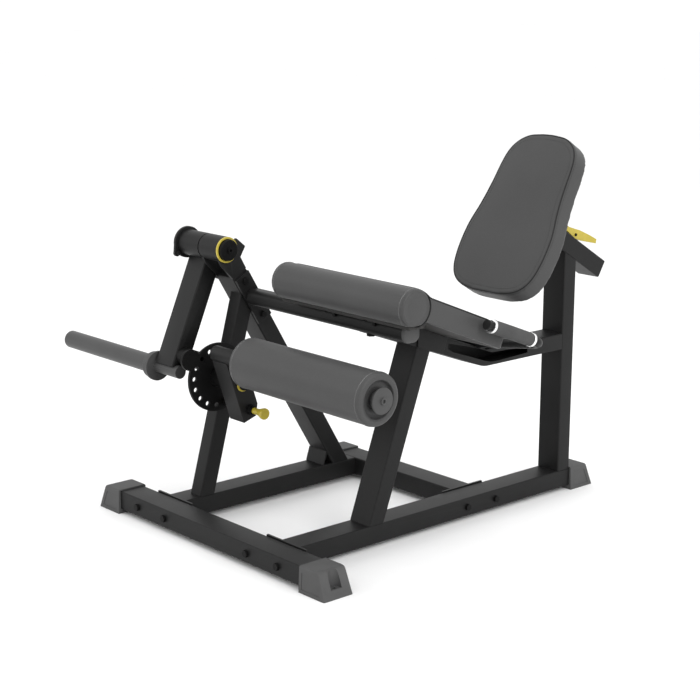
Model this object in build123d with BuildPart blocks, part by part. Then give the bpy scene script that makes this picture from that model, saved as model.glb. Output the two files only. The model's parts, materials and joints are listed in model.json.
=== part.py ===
from build123d import *
import math
import os

# Plate-loaded leg extension machine. Millimetres, +Z up, front of the machine towards -Y.
# The origin lies on the floor, below the middle of the machine's bounding box.

# ---------------------------------------------------------------- driving dimensions
SEAT_X = 369.5             # lateral place of the seat's middle plane
FRONT_Y = -587.9           # front face of the front base tube
BASE_Z = 12.0               # underside of the base tubes, held up by the feet

TUBE_W = 75.0               # main tube width
TUBE_H = 50.0               # main tube height
WALL = 3.0                  # tube wall
TUBE_R = 4.0                # outer radius of the tubes' long edges
HALF_W = TUBE_W / 2
BASE_TOP = TUBE_H           # top of the base tubes above their underside

# Lateral places, measured from the seat's middle plane.
LEFT_NEAR = -431.0          # inner face of the weight-side frame
LEFT_FAR = LEFT_NEAR - TUBE_W
CROSS_FAR = -610.0          # far end of the front base tube, where its foot begins
CROSS_NEAR = 138.0          # near end of the front base tube, where its foot begins
TUBE_IN_FOOT = 40.0         # tube length inside a foot
REAR_CROSS_Y = 678.0        # front face of the rear cross tube
SEAT_BASE_END = 1063.5      # rear end of the seat base tube, where its foot begins

# Side-view points are (rearward from the front face, up from the base tubes' underside).
KNEE_AXIS = (227.0, 700.0)
ARM_LEAN = math.radians(23.0)
ARM_NEAR = -512.0
ARM_FRONT_N = 9.0
ARM_DEPTH = 50.0
ARM_LENGTH = 330.0
HUB_R = 34.0
SHAFT_R = 12.5
RUNNING_GAP = 0.05
BODY_GAP = 0.4              # free space between faces of different moving bodies

POST_ANGLE = math.radians(58.7)
POST_FRONT_N = 534.5
POST_DEPTH = 50.0
POST_TOP_T = 400.0

HORN_T = 338.0
HORN_N = 30.0
HORN_R = 24.5
HORN_CORE_R = 17.0
HORN_END = -1025.0
HORN_DISC_R = 40.0
HORN_DISC_LOW = -604.0
HORN_CORE_END = -497.0

DISC_AXIS = (185.0, 370.0)
DISC_R = 91.0
DISC_LOW = -427.0
DISC_THICK = 8.0
DISC_HOLES = 16
DISC_PITCH_R = 74.0
PIN_R = 6.0
PIN_HOLE_R = 6.4

LEVER_ANGLE = math.radians(71.4)
LEVER_LOW = -375.0
LEVER_W = 60.0
LEVER_DEPTH = 56.0
ROLLER_AXIS = (148.0, 447.0)
ROLLER_R = 65.0
ROLLER_HALF = 242.5
STUB_R = 21.0

ROLL_AXIS = (266.0, 644.0)
ROLL_R = 47.0
ROLL_HALF = 241.5

BEAM_AXIS = (311.0, 568.0)
BEAM_DEPTH = 50.0
BEAM_H = 42.0
BEAM_END = 170.0

SEAT_HALF = 240.0
SEAT_ANGLE = math.radians(21.9)
SEAT_FRONT_TOP = (279.0, 684.0)
SEAT_LENGTH = 333.0
SEAT_THICK = 64.0
BOARD_THICK = 14.0
BOARD_INSET = 14.0
BOARD_START = 58.0

RAIL_DEPTH = 45.0
RAIL_BEND = (711.0, 398.0)
RAIL_ANGLE = math.radians(20.0)
POST_REAR_FRONT = 1015.0
POST_REAR_BACK = 1063.0

SLIDE_ANGLE = math.radians(31.0)
SLEEVE_FRONT = (1005.5, 702.8)
SLEEVE_LENGTH = 193.0
SLEEVE_H = 50.0
SLIDE_W = 60.0
SLIDE_H = 36.0
LATCH_AT = -16.0            # latch pin's place behind the sleeve's front end
SLIDE_OUT = 107.0           # slide tube beyond the sleeve's front end, at rest
BACK_THICK = 60.0
PLATE_THICK = 8.0

GRIP_LAT = 268.0
GRIP_R = 17.0
HANDLE_R = 12.5

BOLT_R = 5.0
BOLT_HEAD_R = 9.5
BOLT_HEAD_H = 7.0
FLANGE_THICK = 6.0

FROM_START = (Align.CENTER, Align.CENTER, Align.MIN)

os.makedirs("parts", exist_ok=True)
pieces = {}


# ---------------------------------------------------------------- placing helpers
def at(lat, along, up):
    """Point from its lateral, rearward and upward distances."""
    return (SEAT_X + lat, FRONT_Y + along, BASE_Z + up)


def side(lat):
    """Side-view plane: its first axis runs rearward, its second up, its normal towards +X."""
    return Plane(origin=at(lat, 0, 0), x_dir=(0, 1, 0), z_dir=(1, 0, 0))


def across(lat, point):
    """Place for a cylinder that runs towards +X from a side-view point."""
    return Location(at(lat, point[0], point[1]), (0, 90, 0))


def arm_point(down, rear):
    """Side-view point from distances down the weight arm and behind its pivot line."""
    along = KNEE_AXIS[0] - math.sin(ARM_LEAN) * down + math.cos(ARM_LEAN) * rear
    up = KNEE_AXIS[1] - math.cos(ARM_LEAN) * down - math.sin(ARM_LEAN) * rear
    return (along, up)


def post_point(climb, depth):
    """Side-view point from the distance up the slanted post and its depth coordinate."""
    along = -math.cos(POST_ANGLE) * climb + math.sin(POST_ANGLE) * depth
    up = math.sin(POST_ANGLE) * climb + math.cos(POST_ANGLE) * depth
    return (along, up)


def post_at_height(up, depth):
    """Side-view point on a line along the slanted post, at a given height."""
    along = (depth - math.cos(POST_ANGLE) * up) / math.sin(POST_ANGLE)
    return (along, up)


def lever_point(down, rear):
    """Side-view point from distances down the roller lever and behind its pivot."""
    along = DISC_AXIS[0] + math.cos(LEVER_ANGLE) * down + math.sin(LEVER_ANGLE) * rear
    up = DISC_AXIS[1] - math.sin(LEVER_ANGLE) * down + math.cos(LEVER_ANGLE) * rear
    return (along, up)


def seat_point(back, drop):
    """Side-view point from distances back along the seat and below its top."""
    along = SEAT_FRONT_TOP[0] + math.cos(SEAT_ANGLE) * back - math.sin(SEAT_ANGLE) * drop
    up = SEAT_FRONT_TOP[1] - math.sin(SEAT_ANGLE) * back - math.cos(SEAT_ANGLE) * drop
    return (along, up)


def slide_plane(forward):
    """Plane across the back-rest slide: normal forward and up, second axis square to it, up."""
    origin = at(0, SLEEVE_FRONT[0], SLEEVE_FRONT[1])
    z_dir = (0, -math.cos(SLIDE_ANGLE), math.sin(SLIDE_ANGLE))
    return Plane(origin=origin, x_dir=(1, 0, 0), z_dir=z_dir).offset(forward)


def shift(start, end, inset):
    """Point at a fixed distance from start on the way to end."""
    length = math.dist(start, end)
    along = start[0] + (end[0] - start[0]) * inset / length
    up = start[1] + (end[1] - start[1]) * inset / length
    return (along, up)


def box_tube(outline, low, high, wall=WALL):
    """Open box tube from its side outline: two lower corners, then two upper ones."""
    front_low, rear_low, rear_high, front_high = outline
    bore = [
        shift(front_low, rear_low, wall),
        shift(rear_low, front_low, wall),
        shift(rear_high, front_high, wall),
        shift(front_high, rear_high, wall),
    ]
    with BuildPart() as tube:
        with BuildSketch(side(low)):
            Polygon(*outline, align=None)
        extrude(amount=high - low)
        fillet(tube.edges().sort_by(SortBy.LENGTH)[-4:], TUBE_R)
        with BuildSketch(side(low + wall)):
            Polygon(*bore, align=None)
        extrude(amount=high - low - 2 * wall, mode=Mode.SUBTRACT)
    return tube


def side_plate(outline, low, high):
    """Flat plate from its side outline."""
    with BuildPart() as plate:
        with BuildSketch(side(low)):
            Polygon(*outline, align=None)
        extrude(amount=high - low)
    return plate


def level_tube(low_corner, high_corner, open_axis):
    """Level box tube between two corners, open along one axis."""
    size = [high_corner[i] - low_corner[i] for i in range(3)]
    middle = [(high_corner[i] + low_corner[i]) / 2 for i in range(3)]
    bore = [size[i] - 2 * WALL for i in range(3)]
    bore[open_axis] = size[open_axis]
    with BuildPart() as tube:
        with Locations(tuple(middle)):
            Box(*size)
            fillet(tube.edges().sort_by(SortBy.LENGTH)[-4:], TUBE_R)
            Box(*bore, mode=Mode.SUBTRACT)
    return tube


def sleeve_bottom(along):
    """Side-view point on the underside of the back-rest sleeve."""
    front = SLEEVE_FRONT[0] - math.sin(SLIDE_ANGLE) * SLEEVE_H / 2
    up = SLEEVE_FRONT[1] - math.cos(SLIDE_ANGLE) * SLEEVE_H / 2
    return (along, up - math.tan(SLIDE_ANGLE) * (along - front))


def seat_under(along):
    """Side-view point on the underside of the seat."""
    start = seat_point(0, SEAT_THICK)
    return (along, start[1] - math.tan(SEAT_ANGLE) * (along - start[0]))


# ---------------------------------------------------------------- base frame
cross_bolts = [(lat, 0.0, 25.0) for lat in (-531.0, -412.0, -69.0, 50.0)]
spine_bolts = [(HALF_W, 658.0, 25.0), (HALF_W, 766.0, 25.0)]
ALONG_Y = (-90, 0, 0)
TOWARDS_MINUS_X = (0, -90, 0)


def bolt_places():
    """Places of the base bolts' heads, with the shank's direction."""
    places = [Location(at(*point), ALONG_Y) for point in cross_bolts]
    places += [Location(at(*point), TOWARDS_MINUS_X) for point in spine_bolts]
    return places


SHANK = TUBE_W + FLANGE_THICK

front_cross = level_tube(
    at(CROSS_FAR - TUBE_IN_FOOT, 0, 0), at(CROSS_NEAR + TUBE_IN_FOOT, TUBE_W, TUBE_H), 0
)
with BuildPart() as front_cross_tube:
    add(front_cross.part)
    with Locations(*bolt_places()[:4]):
        Cylinder(BOLT_R, TUBE_W, align=FROM_START, mode=Mode.SUBTRACT)
pieces["front_cross_tube"] = front_cross_tube

pieces["left_base_tube"] = level_tube(
    at(LEFT_FAR, TUBE_W + FLANGE_THICK, 0), at(LEFT_NEAR, REAR_CROSS_Y, TUBE_H), 1
)

seat_base = level_tube(
    at(-HALF_W, TUBE_W + FLANGE_THICK, 0), at(HALF_W, SEAT_BASE_END + TUBE_IN_FOOT, TUBE_H), 1
)
with BuildPart() as seat_base_tube:
    add(seat_base.part)
    with Locations(*bolt_places()[4:]):
        Cylinder(BOLT_R, TUBE_W, align=FROM_START, mode=Mode.SUBTRACT)
pieces["seat_base_tube"] = seat_base_tube

pieces["rear_cross_tube"] = level_tube(
    at(LEFT_FAR - TUBE_IN_FOOT, REAR_CROSS_Y, 0),
    at(-HALF_W - FLANGE_THICK, REAR_CROSS_Y + TUBE_W, TUBE_H),
    0,
)

FLANGE_SPAN = 150.0
FLANGE_H = 53.0
SEAT_FLANGE_MIDDLE = -8.0
with BuildPart() as joint_flanges:
    for middle in (LEFT_NEAR - HALF_W, SEAT_FLANGE_MIDDLE):
        with Locations(at(middle, TUBE_W + FLANGE_THICK / 2, FLANGE_H / 2)):
            Box(FLANGE_SPAN, FLANGE_THICK, FLANGE_H)
    with Locations(at(-HALF_W - FLANGE_THICK / 2, REAR_CROSS_Y + HALF_W, FLANGE_H / 2)):
        Box(FLANGE_THICK, FLANGE_SPAN, FLANGE_H)
    with Locations(*bolt_places()[:4]):
        Cylinder(BOLT_R, SHANK, align=FROM_START, mode=Mode.SUBTRACT)
    with Locations(*bolt_places()[4:]):
        Cylinder(BOLT_R, SHANK, align=FROM_START, mode=Mode.SUBTRACT)
pieces["joint_flanges"] = joint_flanges

# Hexagon bolts with their nuts hold the base together.
with BuildPart() as base_bolts:
    for place in bolt_places():
        with Locations(place):
            Cylinder(BOLT_R, SHANK + BOLT_HEAD_H, align=FROM_START)
        with BuildSketch(Plane(place)):
            RegularPolygon(BOLT_HEAD_R, 6)
        extrude(amount=-BOLT_HEAD_H)
        with BuildSketch(Plane(place).offset(SHANK)):
            RegularPolygon(BOLT_HEAD_R, 6)
        extrude(amount=BOLT_HEAD_H)
pieces["base_bolts"] = base_bolts

# Rubber feet: a tapered shell around a tube end, with a scoop down to a floor-bolt hole.
FOOT_TOP = 54.0
FOOT_OUT_TOP = 66.0
FOOT_OUT_BOTTOM = 92.0
FOOT_TOP_W = TUBE_W + 10.0
FOOT_BOTTOM_W = TUBE_W + 16.0
SCOOP_R = 16.5
SCOOP_IN = 60.0             # innermost wall of the scoop
SCOOP_FLOOR = 9.0
FLOOR_BOLT_R = 5.5
PANEL_INSET = 9.0
PANEL_DEEP = 1.2
PANEL_TOP = 50.0

foot_side = Plane.XZ
foot_flare = (FOOT_BOTTOM_W - FOOT_TOP_W) / 2
foot_half = FOOT_BOTTOM_W / 2
flare_angle = math.atan(foot_flare / (FOOT_TOP + BASE_Z))
with BuildPart() as foot_shell:
    with BuildSketch(foot_side):
        Polygon(
            (0, -BASE_Z), (FOOT_OUT_BOTTOM, -BASE_Z), (FOOT_OUT_TOP, FOOT_TOP), (0, FOOT_TOP),
            align=None,
        )
    extrude(amount=foot_half, both=True)
    with BuildSketch(Plane.YZ):
        Polygon(
            (-foot_half, -BASE_Z), (-foot_half, FOOT_TOP), (-foot_half + foot_flare, FOOT_TOP),
            align=None,
        )
        Polygon(
            (foot_half, -BASE_Z), (foot_half, FOOT_TOP), (foot_half - foot_flare, FOOT_TOP),
            align=None,
        )
    extrude(amount=FOOT_OUT_BOTTOM, mode=Mode.SUBTRACT)
    outer_end = foot_shell.faces().sort_by(Axis.X)[-1]
    fillet(outer_end.edges().sort_by(Axis.Z)[-1], 13.0)
    corner_edges = [
        edge for edge in foot_shell.edges()
        if edge.center().X > 0.6 * FOOT_OUT_TOP and abs(edge.center().Y) > 0.8 * foot_half
        and edge.center().Z > 0.5 - BASE_Z
    ]
    fillet(corner_edges, 5.0)
    with Locations((TUBE_IN_FOOT / 2, 0, TUBE_H / 2)):
        Box(TUBE_IN_FOOT, TUBE_W, TUBE_H, mode=Mode.SUBTRACT)
    for face_side in (-1, 1):
        panel_plane = Plane(
            origin=(0, face_side * foot_half, -BASE_Z),
            x_dir=(1, 0, 0),
            z_dir=(0, face_side * math.cos(flare_angle), math.sin(flare_angle)),
        )
        with BuildSketch(panel_plane):
            Polygon(
                (PANEL_INSET, -face_side * PANEL_INSET),
                (FOOT_OUT_BOTTOM - 2 * PANEL_INSET, -face_side * PANEL_INSET),
                (FOOT_OUT_TOP - PANEL_INSET, -face_side * PANEL_TOP),
                (PANEL_INSET, -face_side * PANEL_TOP),
                align=None,
            )
        extrude(amount=-PANEL_DEEP, mode=Mode.SUBTRACT)
    with BuildSketch(Plane.XY.offset(SCOOP_FLOOR)):
        with Locations((SCOOP_IN + SCOOP_R, 0)):
            Circle(SCOOP_R)
        with Locations((SCOOP_IN + SCOOP_R + FOOT_OUT_BOTTOM / 2, 0)):
            Rectangle(FOOT_OUT_BOTTOM, 2 * SCOOP_R)
    extrude(amount=FOOT_TOP, mode=Mode.SUBTRACT)
    with Locations((SCOOP_IN + SCOOP_R - 4.0, 0, -BASE_Z)):
        Cylinder(FLOOR_BOLT_R, BASE_Z + SCOOP_FLOOR, align=FROM_START, mode=Mode.SUBTRACT)


foot_places = [
    Location(at(CROSS_NEAR, HALF_W, 0), (0, 0, 0)),
    Location(at(CROSS_FAR, HALF_W, 0), (0, 0, 180)),
    Location(at(LEFT_FAR, REAR_CROSS_Y + HALF_W, 0), (0, 0, 180)),
    Location(at(0, SEAT_BASE_END, 0), (0, 0, 90)),
]
with BuildPart() as rubber_feet:
    with Locations(*foot_places):
        add(foot_shell.part)
pieces["rubber_feet"] = rubber_feet

# ---------------------------------------------------------------- weight-side frame
UPRIGHT_W = 45.0
UPRIGHT_LEAN = math.atan(0.27)
upright_low = [(131.0, BASE_TOP), (179.0, BASE_TOP)]


def upright_top(start):
    """Point where a line of the left upright meets the slanted post's front face."""
    slope = math.tan(UPRIGHT_LEAN)
    reach = POST_FRONT_N - math.sin(POST_ANGLE) * (start[0] - slope * start[1])
    up = reach / (math.sin(POST_ANGLE) * slope + math.cos(POST_ANGLE))
    return (start[0] + slope * (up - start[1]), up)


pieces["left_upright"] = box_tube(
    [upright_low[0], upright_low[1], upright_top(upright_low[1]), upright_top(upright_low[0])],
    LEFT_NEAR - UPRIGHT_W,
    LEFT_NEAR,
)

POST_REAR_N = POST_FRONT_N + POST_DEPTH
slanted_box = box_tube(
    [
        post_at_height(BASE_TOP, POST_FRONT_N),
        post_at_height(BASE_TOP, POST_REAR_N),
        post_point(POST_TOP_T, POST_REAR_N),
        post_point(POST_TOP_T, POST_FRONT_N),
    ],
    LEFT_FAR,
    LEFT_NEAR,
)
beam_t = -math.cos(POST_ANGLE) * BEAM_AXIS[0] + math.sin(POST_ANGLE) * BEAM_AXIS[1]
POST_MIDDLE_N = POST_FRONT_N + POST_DEPTH / 2
flange_holes = [
    across(LEFT_NEAR - WALL, post_point(beam_t - 60.0, POST_MIDDLE_N)),
    across(LEFT_NEAR - WALL, post_point(beam_t + 54.0, POST_MIDDLE_N)),
]
BEAM_FLANGE = 8.0
with BuildPart() as slanted_post:
    add(slanted_box.part)
    with Locations(*flange_holes):
        Cylinder(BOLT_R, WALL, align=FROM_START, mode=Mode.SUBTRACT)
pieces["slanted_post"] = slanted_post

pieces["post_gusset"] = side_plate(
    [
        (558.0, BASE_TOP),
        (562.0, BASE_TOP),
        post_at_height(84.0, POST_FRONT_N),
        post_at_height(90.0, POST_FRONT_N),
    ],
    LEFT_FAR,
    LEFT_NEAR,
)

# Two ears and a cap plate carry the bearing housing on top of the slanted post.
EAR_THICK = 8.0
CAP_THICK = 4.0
ear_outline = [
    (262.0, 726.0),
    (290.0, 703.0),
    (274.0, 676.0),
    post_point(POST_TOP_T, POST_REAR_N),
    post_point(POST_TOP_T, POST_FRONT_N),
    (212.0, 658.0),
    (204.0, 674.0),
]
with BuildPart() as pivot_ears:
    for low in (LEFT_FAR, LEFT_NEAR - EAR_THICK):
        with BuildSketch(side(low)):
            Polygon(*ear_outline, align=None)
        extrude(amount=EAR_THICK)
    with BuildSketch(side(LEFT_FAR + EAR_THICK)):
        Polygon(
            post_point(POST_TOP_T, POST_FRONT_N),
            post_point(POST_TOP_T, POST_REAR_N),
            post_point(POST_TOP_T + CAP_THICK, POST_REAR_N),
            post_point(POST_TOP_T + CAP_THICK, POST_FRONT_N),
            align=None,
        )
    extrude(amount=TUBE_W - 2 * EAR_THICK)
    with Locations(across(LEFT_FAR, KNEE_AXIS)):
        Cylinder(HUB_R, TUBE_W, align=FROM_START, mode=Mode.SUBTRACT)
pieces["pivot_ears"] = pivot_ears

BEARING_R = 26.0
BEARING_W = 15.0
with BuildPart() as bearing_housing:
    with Locations(across(LEFT_FAR, KNEE_AXIS)):
        Cylinder(HUB_R, TUBE_W, align=FROM_START)
        Cylinder(BEARING_R, TUBE_W, align=FROM_START, mode=Mode.SUBTRACT)
pieces["bearing_housing"] = bearing_housing

with BuildPart() as knee_bearings:
    for low in (LEFT_FAR, LEFT_NEAR - BEARING_W):
        with Locations(across(low, KNEE_AXIS)):
            Cylinder(BEARING_R, BEARING_W, align=FROM_START)
            Cylinder(SHAFT_R + RUNNING_GAP, BEARING_W, align=FROM_START, mode=Mode.SUBTRACT)
pieces["knee_bearings"] = knee_bearings

SEAL_THICK = 5.0
CAP_R = 28.0
with BuildPart() as seal_ring:
    with Locations(across(LEFT_NEAR, KNEE_AXIS)):
        Cylinder(HUB_R, SEAL_THICK, align=FROM_START)
        Cylinder(CAP_R + BODY_GAP, SEAL_THICK, align=FROM_START, mode=Mode.SUBTRACT)
    fillet(seal_ring.edges().filter_by(GeomType.CIRCLE).sort_by(SortBy.RADIUS)[-1], 1.5)
pieces["seal_ring"] = seal_ring

# The arm rests on a rubber bumper held by a block on the post's outer face.
STOP_T = 58.0
STOP_HALF = 12.0
STOP_W = 36.0
BUMPER_H = 10.0
STOP_DEPTH = 24.0
ARM_REAR_N = ARM_FRONT_N + ARM_DEPTH
BUMPER_N = ARM_REAR_N + BODY_GAP
pieces["stop_block"] = side_plate(
    [
        arm_point(STOP_T - STOP_HALF, BUMPER_N + BUMPER_H),
        arm_point(STOP_T + STOP_HALF, BUMPER_N + BUMPER_H),
        arm_point(STOP_T + STOP_HALF, BUMPER_N + BUMPER_H + STOP_DEPTH),
        arm_point(STOP_T - STOP_HALF, BUMPER_N + BUMPER_H + STOP_DEPTH),
    ],
    LEFT_FAR - STOP_W,
    LEFT_FAR,
)
bumper_plane = Plane(
    origin=at(LEFT_FAR - STOP_W / 2, *arm_point(STOP_T, BUMPER_N)),
    x_dir=(1, 0, 0),
    z_dir=(0, math.cos(ARM_LEAN), -math.sin(ARM_LEAN)),
)
with BuildPart() as stop_bumper:
    with BuildSketch(bumper_plane):
        Circle(STOP_HALF - 1.0)
    extrude(amount=BUMPER_H)
    fillet(stop_bumper.edges().sort_by(Axis(bumper_plane.origin, bumper_plane.z_dir))[0], 2.0)
pieces["stop_bumper"] = stop_bumper

# ---------------------------------------------------------------- front beam and seat frame
BEAM_R = 17.0
beam_low = LEFT_NEAR + BEAM_FLANGE
BEAM_CAP = 9.0
flange_low_t = beam_t - 76.0
flange_high_t = beam_t + 70.0
beam_bottom = BEAM_AXIS[1] - BEAM_H / 2
beam_bolt = Location(at(35.0, BEAM_AXIS[0], beam_bottom))
with BuildPart() as front_beam:
    with BuildSketch(side(beam_low)):
        with Locations(BEAM_AXIS):
            RectangleRounded(BEAM_DEPTH, BEAM_H, BEAM_R)
            RectangleRounded(
                BEAM_DEPTH - 2 * WALL, BEAM_H - 2 * WALL, BEAM_R - WALL, mode=Mode.SUBTRACT
            )
    extrude(amount=BEAM_END - beam_low)
    with Locations(beam_bolt):
        Cylinder(BOLT_R, WALL + 1, align=FROM_START, mode=Mode.SUBTRACT)
pieces["front_beam"] = front_beam

# The beam's flange is welded on its end and bolted to the slanted post.
with BuildPart() as beam_flange:
    with BuildSketch(side(LEFT_NEAR)):
        Polygon(
            post_point(flange_low_t, POST_FRONT_N + 1),
            post_point(flange_low_t, POST_REAR_N - 1),
            post_point(flange_high_t, POST_REAR_N - 1),
            post_point(flange_high_t, POST_FRONT_N + 1),
            align=None,
        )
    extrude(amount=BEAM_FLANGE)
    with Locations(*flange_holes):
        Cylinder(BOLT_R, WALL + BEAM_FLANGE, align=FROM_START, mode=Mode.SUBTRACT)
pieces["beam_flange"] = beam_flange

with BuildPart() as flange_bolts:
    for hole in flange_holes:
        with Locations(hole):
            Cylinder(BOLT_R, WALL + BEAM_FLANGE, align=FROM_START)
        hole_end = Plane(hole).offset(WALL + BEAM_FLANGE)
        with BuildSketch(hole_end):
            RegularPolygon(BOLT_HEAD_R, 6)
        extrude(amount=BOLT_HEAD_H)
pieces["flange_bolts"] = flange_bolts

with BuildPart() as beam_bolts:
    with Locations(beam_bolt):
        Cylinder(BOLT_R, 14.0, align=FROM_START)
    with BuildSketch(Plane(beam_bolt)):
        RegularPolygon(11.0, 6)
    extrude(amount=-8.0)
    with BuildSketch(Plane(beam_bolt).offset(WALL)):
        RegularPolygon(BOLT_HEAD_R, 6)
    extrude(amount=BOLT_HEAD_H)
pieces["beam_bolts"] = beam_bolts

with BuildPart() as beam_end_cap:
    with BuildSketch(side(BEAM_END)):
        with Locations(BEAM_AXIS):
            RectangleRounded(BEAM_DEPTH + 4, BEAM_H + 4, BEAM_R + 2)
    extrude(amount=BEAM_CAP)
    fillet(beam_end_cap.faces().sort_by(Axis.X)[-1].edges(), 5.0)
    with BuildSketch(side(BEAM_END - 12)):
        with Locations(BEAM_AXIS):
            RectangleRounded(BEAM_DEPTH - 2 * WALL, BEAM_H - 2 * WALL, BEAM_R - WALL)
    extrude(amount=12)
pieces["beam_end_cap"] = beam_end_cap

rail_front = BEAM_AXIS[0] + BEAM_DEPTH / 2
rail_slope = math.tan(RAIL_ANGLE)
rail_rise = RAIL_DEPTH / math.cos(RAIL_ANGLE)


def rail_bottom(along):
    """Underside of the sloping part of the seat rail."""
    return (along, RAIL_BEND[1] + rail_slope * (RAIL_BEND[0] - along))


def rail_top(along):
    """Top of the sloping part of the seat rail."""
    return (along, rail_bottom(along)[1] + rail_rise)


bend_top = (RAIL_BEND[0] + RAIL_DEPTH * math.tan(RAIL_ANGLE / 2), RAIL_BEND[1] + RAIL_DEPTH)
rail_outline = [
    rail_bottom(rail_front),
    RAIL_BEND,
    (POST_REAR_FRONT, RAIL_BEND[1]),
    (POST_REAR_FRONT, RAIL_BEND[1] + RAIL_DEPTH),
    bend_top,
    rail_top(rail_front),
]
bend_bore = shift(RAIL_BEND, bend_top, WALL)
bend_bore_top = shift(bend_top, RAIL_BEND, WALL)
rail_bore = [
    (rail_front, rail_bottom(rail_front)[1] + WALL),
    bend_bore,
    (POST_REAR_FRONT, RAIL_BEND[1] + WALL),
    (POST_REAR_FRONT, RAIL_BEND[1] + RAIL_DEPTH - WALL),
    bend_bore_top,
    (rail_front, rail_top(rail_front)[1] - WALL),
]
# Opening in the rail's near wall, over the bend.
rail_window = [
    (576.0, 480.0), (576.0, 466.0), (594.0, 455.0), (650.0, 436.0), (712.0, 414.0),
    (735.0, 408.0), (765.0, 407.0), (876.0, 411.0), (876.0, 426.0), (800.0, 431.0),
    (738.0, 433.0), (690.0, 450.0), (640.0, 464.0),
]
RAIL_BEND_R = 90.0
with BuildPart() as seat_rail:
    with BuildSketch(side(-HALF_W)) as rail_side:
        Polygon(*rail_outline, align=None)
        fillet(rail_side.vertices().sort_by_distance(Vector(*RAIL_BEND, 0))[0], RAIL_BEND_R)
    extrude(amount=TUBE_W)
    fillet([edge for edge in seat_rail.edges() if edge.length > 2 * TUBE_W], TUBE_R)
    with BuildSketch(side(-HALF_W + WALL)):
        Polygon(*rail_bore, align=None)
    extrude(amount=TUBE_W - 2 * WALL, mode=Mode.SUBTRACT)
    with BuildSketch(side(HALF_W - WALL)):
        Polygon(*rail_window, align=None)
    extrude(amount=WALL, mode=Mode.SUBTRACT)
pieces["seat_rail"] = seat_rail

pieces["seat_upright"] = box_tube(
    [(308.0, BASE_TOP), (358.0, BASE_TOP), rail_bottom(512.0), rail_bottom(464.0)],
    -HALF_W,
    HALF_W,
)

# Side plates tie the seat upright's head to the rail.
RAIL_PLATE = 4.0
with BuildPart() as rail_plates:
    for low in (-HALF_W - RAIL_PLATE, HALF_W):
        with BuildSketch(side(low)):
            Polygon(
                rail_bottom(465.0), rail_bottom(554.0), seat_under(570.0), seat_under(465.0),
                align=None,
            )
        extrude(amount=RAIL_PLATE)
pieces["rail_plates"] = rail_plates

pieces["rear_post"] = box_tube(
    [
        (POST_REAR_FRONT, BASE_TOP),
        (POST_REAR_BACK, BASE_TOP),
        sleeve_bottom(POST_REAR_BACK),
        sleeve_bottom(POST_REAR_FRONT),
    ],
    -HALF_W,
    HALF_W,
)

# ---------------------------------------------------------------- knee roll and seat
BRACKET_LATS = (-70.0, 76.0)
BRACKET_W = 10.0
STRIP_LOW = 592.0           # underside of the roll's flat base
STRIP_FRONT = 250.0
STRIP_REAR = 300.0
ROLL_FLAT = 6.0
roll_flat_up = ROLL_AXIS[1] - ROLL_R + ROLL_FLAT
with BuildPart() as knee_roll_pad:
    with Locations(across(-ROLL_HALF, ROLL_AXIS)):
        Cylinder(ROLL_R, 2 * ROLL_HALF, align=FROM_START)
    fillet(knee_roll_pad.edges().filter_by(GeomType.CIRCLE), 10.0)
    with Locations(at(0, ROLL_AXIS[0], roll_flat_up - 10)):
        Box(2 * ROLL_HALF, 2 * ROLL_R, 20, mode=Mode.SUBTRACT)
    strip_middle = ((STRIP_FRONT + STRIP_REAR) / 2, (STRIP_LOW + roll_flat_up) / 2)
    with Locations(at(0, *strip_middle)):
        Box(2 * ROLL_HALF - 20, STRIP_REAR - STRIP_FRONT, roll_flat_up - STRIP_LOW)
pieces["knee_roll_pad"] = knee_roll_pad

beam_top = BEAM_AXIS[1] + BEAM_H / 2
bracket_outline = [
    (280.0, beam_top - 15.0),
    (286.0, beam_top - 15.0),
    (286.0, beam_top),
    (326.0, beam_top),
    seat_under(326.0),
    seat_under(312.0),
    (304.0, STRIP_LOW),
    (250.0, STRIP_LOW),
    (250.0, beam_top),
    (280.0, beam_top),
]
with BuildPart() as knee_roll_brackets:
    for middle in BRACKET_LATS:
        with BuildSketch(side(middle - BRACKET_W / 2)):
            Polygon(*bracket_outline, align=None)
        extrude(amount=BRACKET_W)
pieces["knee_roll_brackets"] = knee_roll_brackets

seat_outline = [
    seat_point(0, 0),
    seat_point(SEAT_LENGTH, 0),
    seat_point(SEAT_LENGTH, SEAT_THICK),
    seat_point(18, SEAT_THICK),
]
board_outline = [
    seat_point(BOARD_START, SEAT_THICK - BOARD_THICK),
    seat_point(SEAT_LENGTH - BOARD_INSET, SEAT_THICK - BOARD_THICK),
    seat_point(SEAT_LENGTH - BOARD_INSET, SEAT_THICK),
    seat_point(BOARD_START, SEAT_THICK),
]
with BuildPart() as seat_pad:
    with BuildSketch(side(-SEAT_HALF)):
        Polygon(*seat_outline, align=None)
    extrude(amount=2 * SEAT_HALF)
    with BuildSketch(side(-SEAT_HALF + BOARD_INSET)):
        Polygon(*board_outline, align=None)
    extrude(amount=2 * (SEAT_HALF - BOARD_INSET), mode=Mode.SUBTRACT)
    with Locations(across(-SEAT_HALF, ROLL_AXIS)):
        Cylinder(ROLL_R + 1, 2 * SEAT_HALF, align=FROM_START, mode=Mode.SUBTRACT)
pieces["seat_pad"] = seat_pad
pieces["seat_board"] = side_plate(
    board_outline, -SEAT_HALF + BOARD_INSET, SEAT_HALF - BOARD_INSET
)

# ---------------------------------------------------------------- hand grips
GRIP_FRONT = (485.0, 578.0)
GRIP_REAR = (634.0, 521.0)
grip_length = math.dist(GRIP_FRONT, GRIP_REAR)
RING_R = 18.0
RING_W = 8.0
HANDLE_CROSS_Y = 690.0
HANDLE_SEAT = 1.0            # depth of the flat where the bar sits on the rail


def grip_point(along):
    """Side-view point on the grip's axis."""
    return shift(GRIP_FRONT, GRIP_REAR, along)


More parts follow.
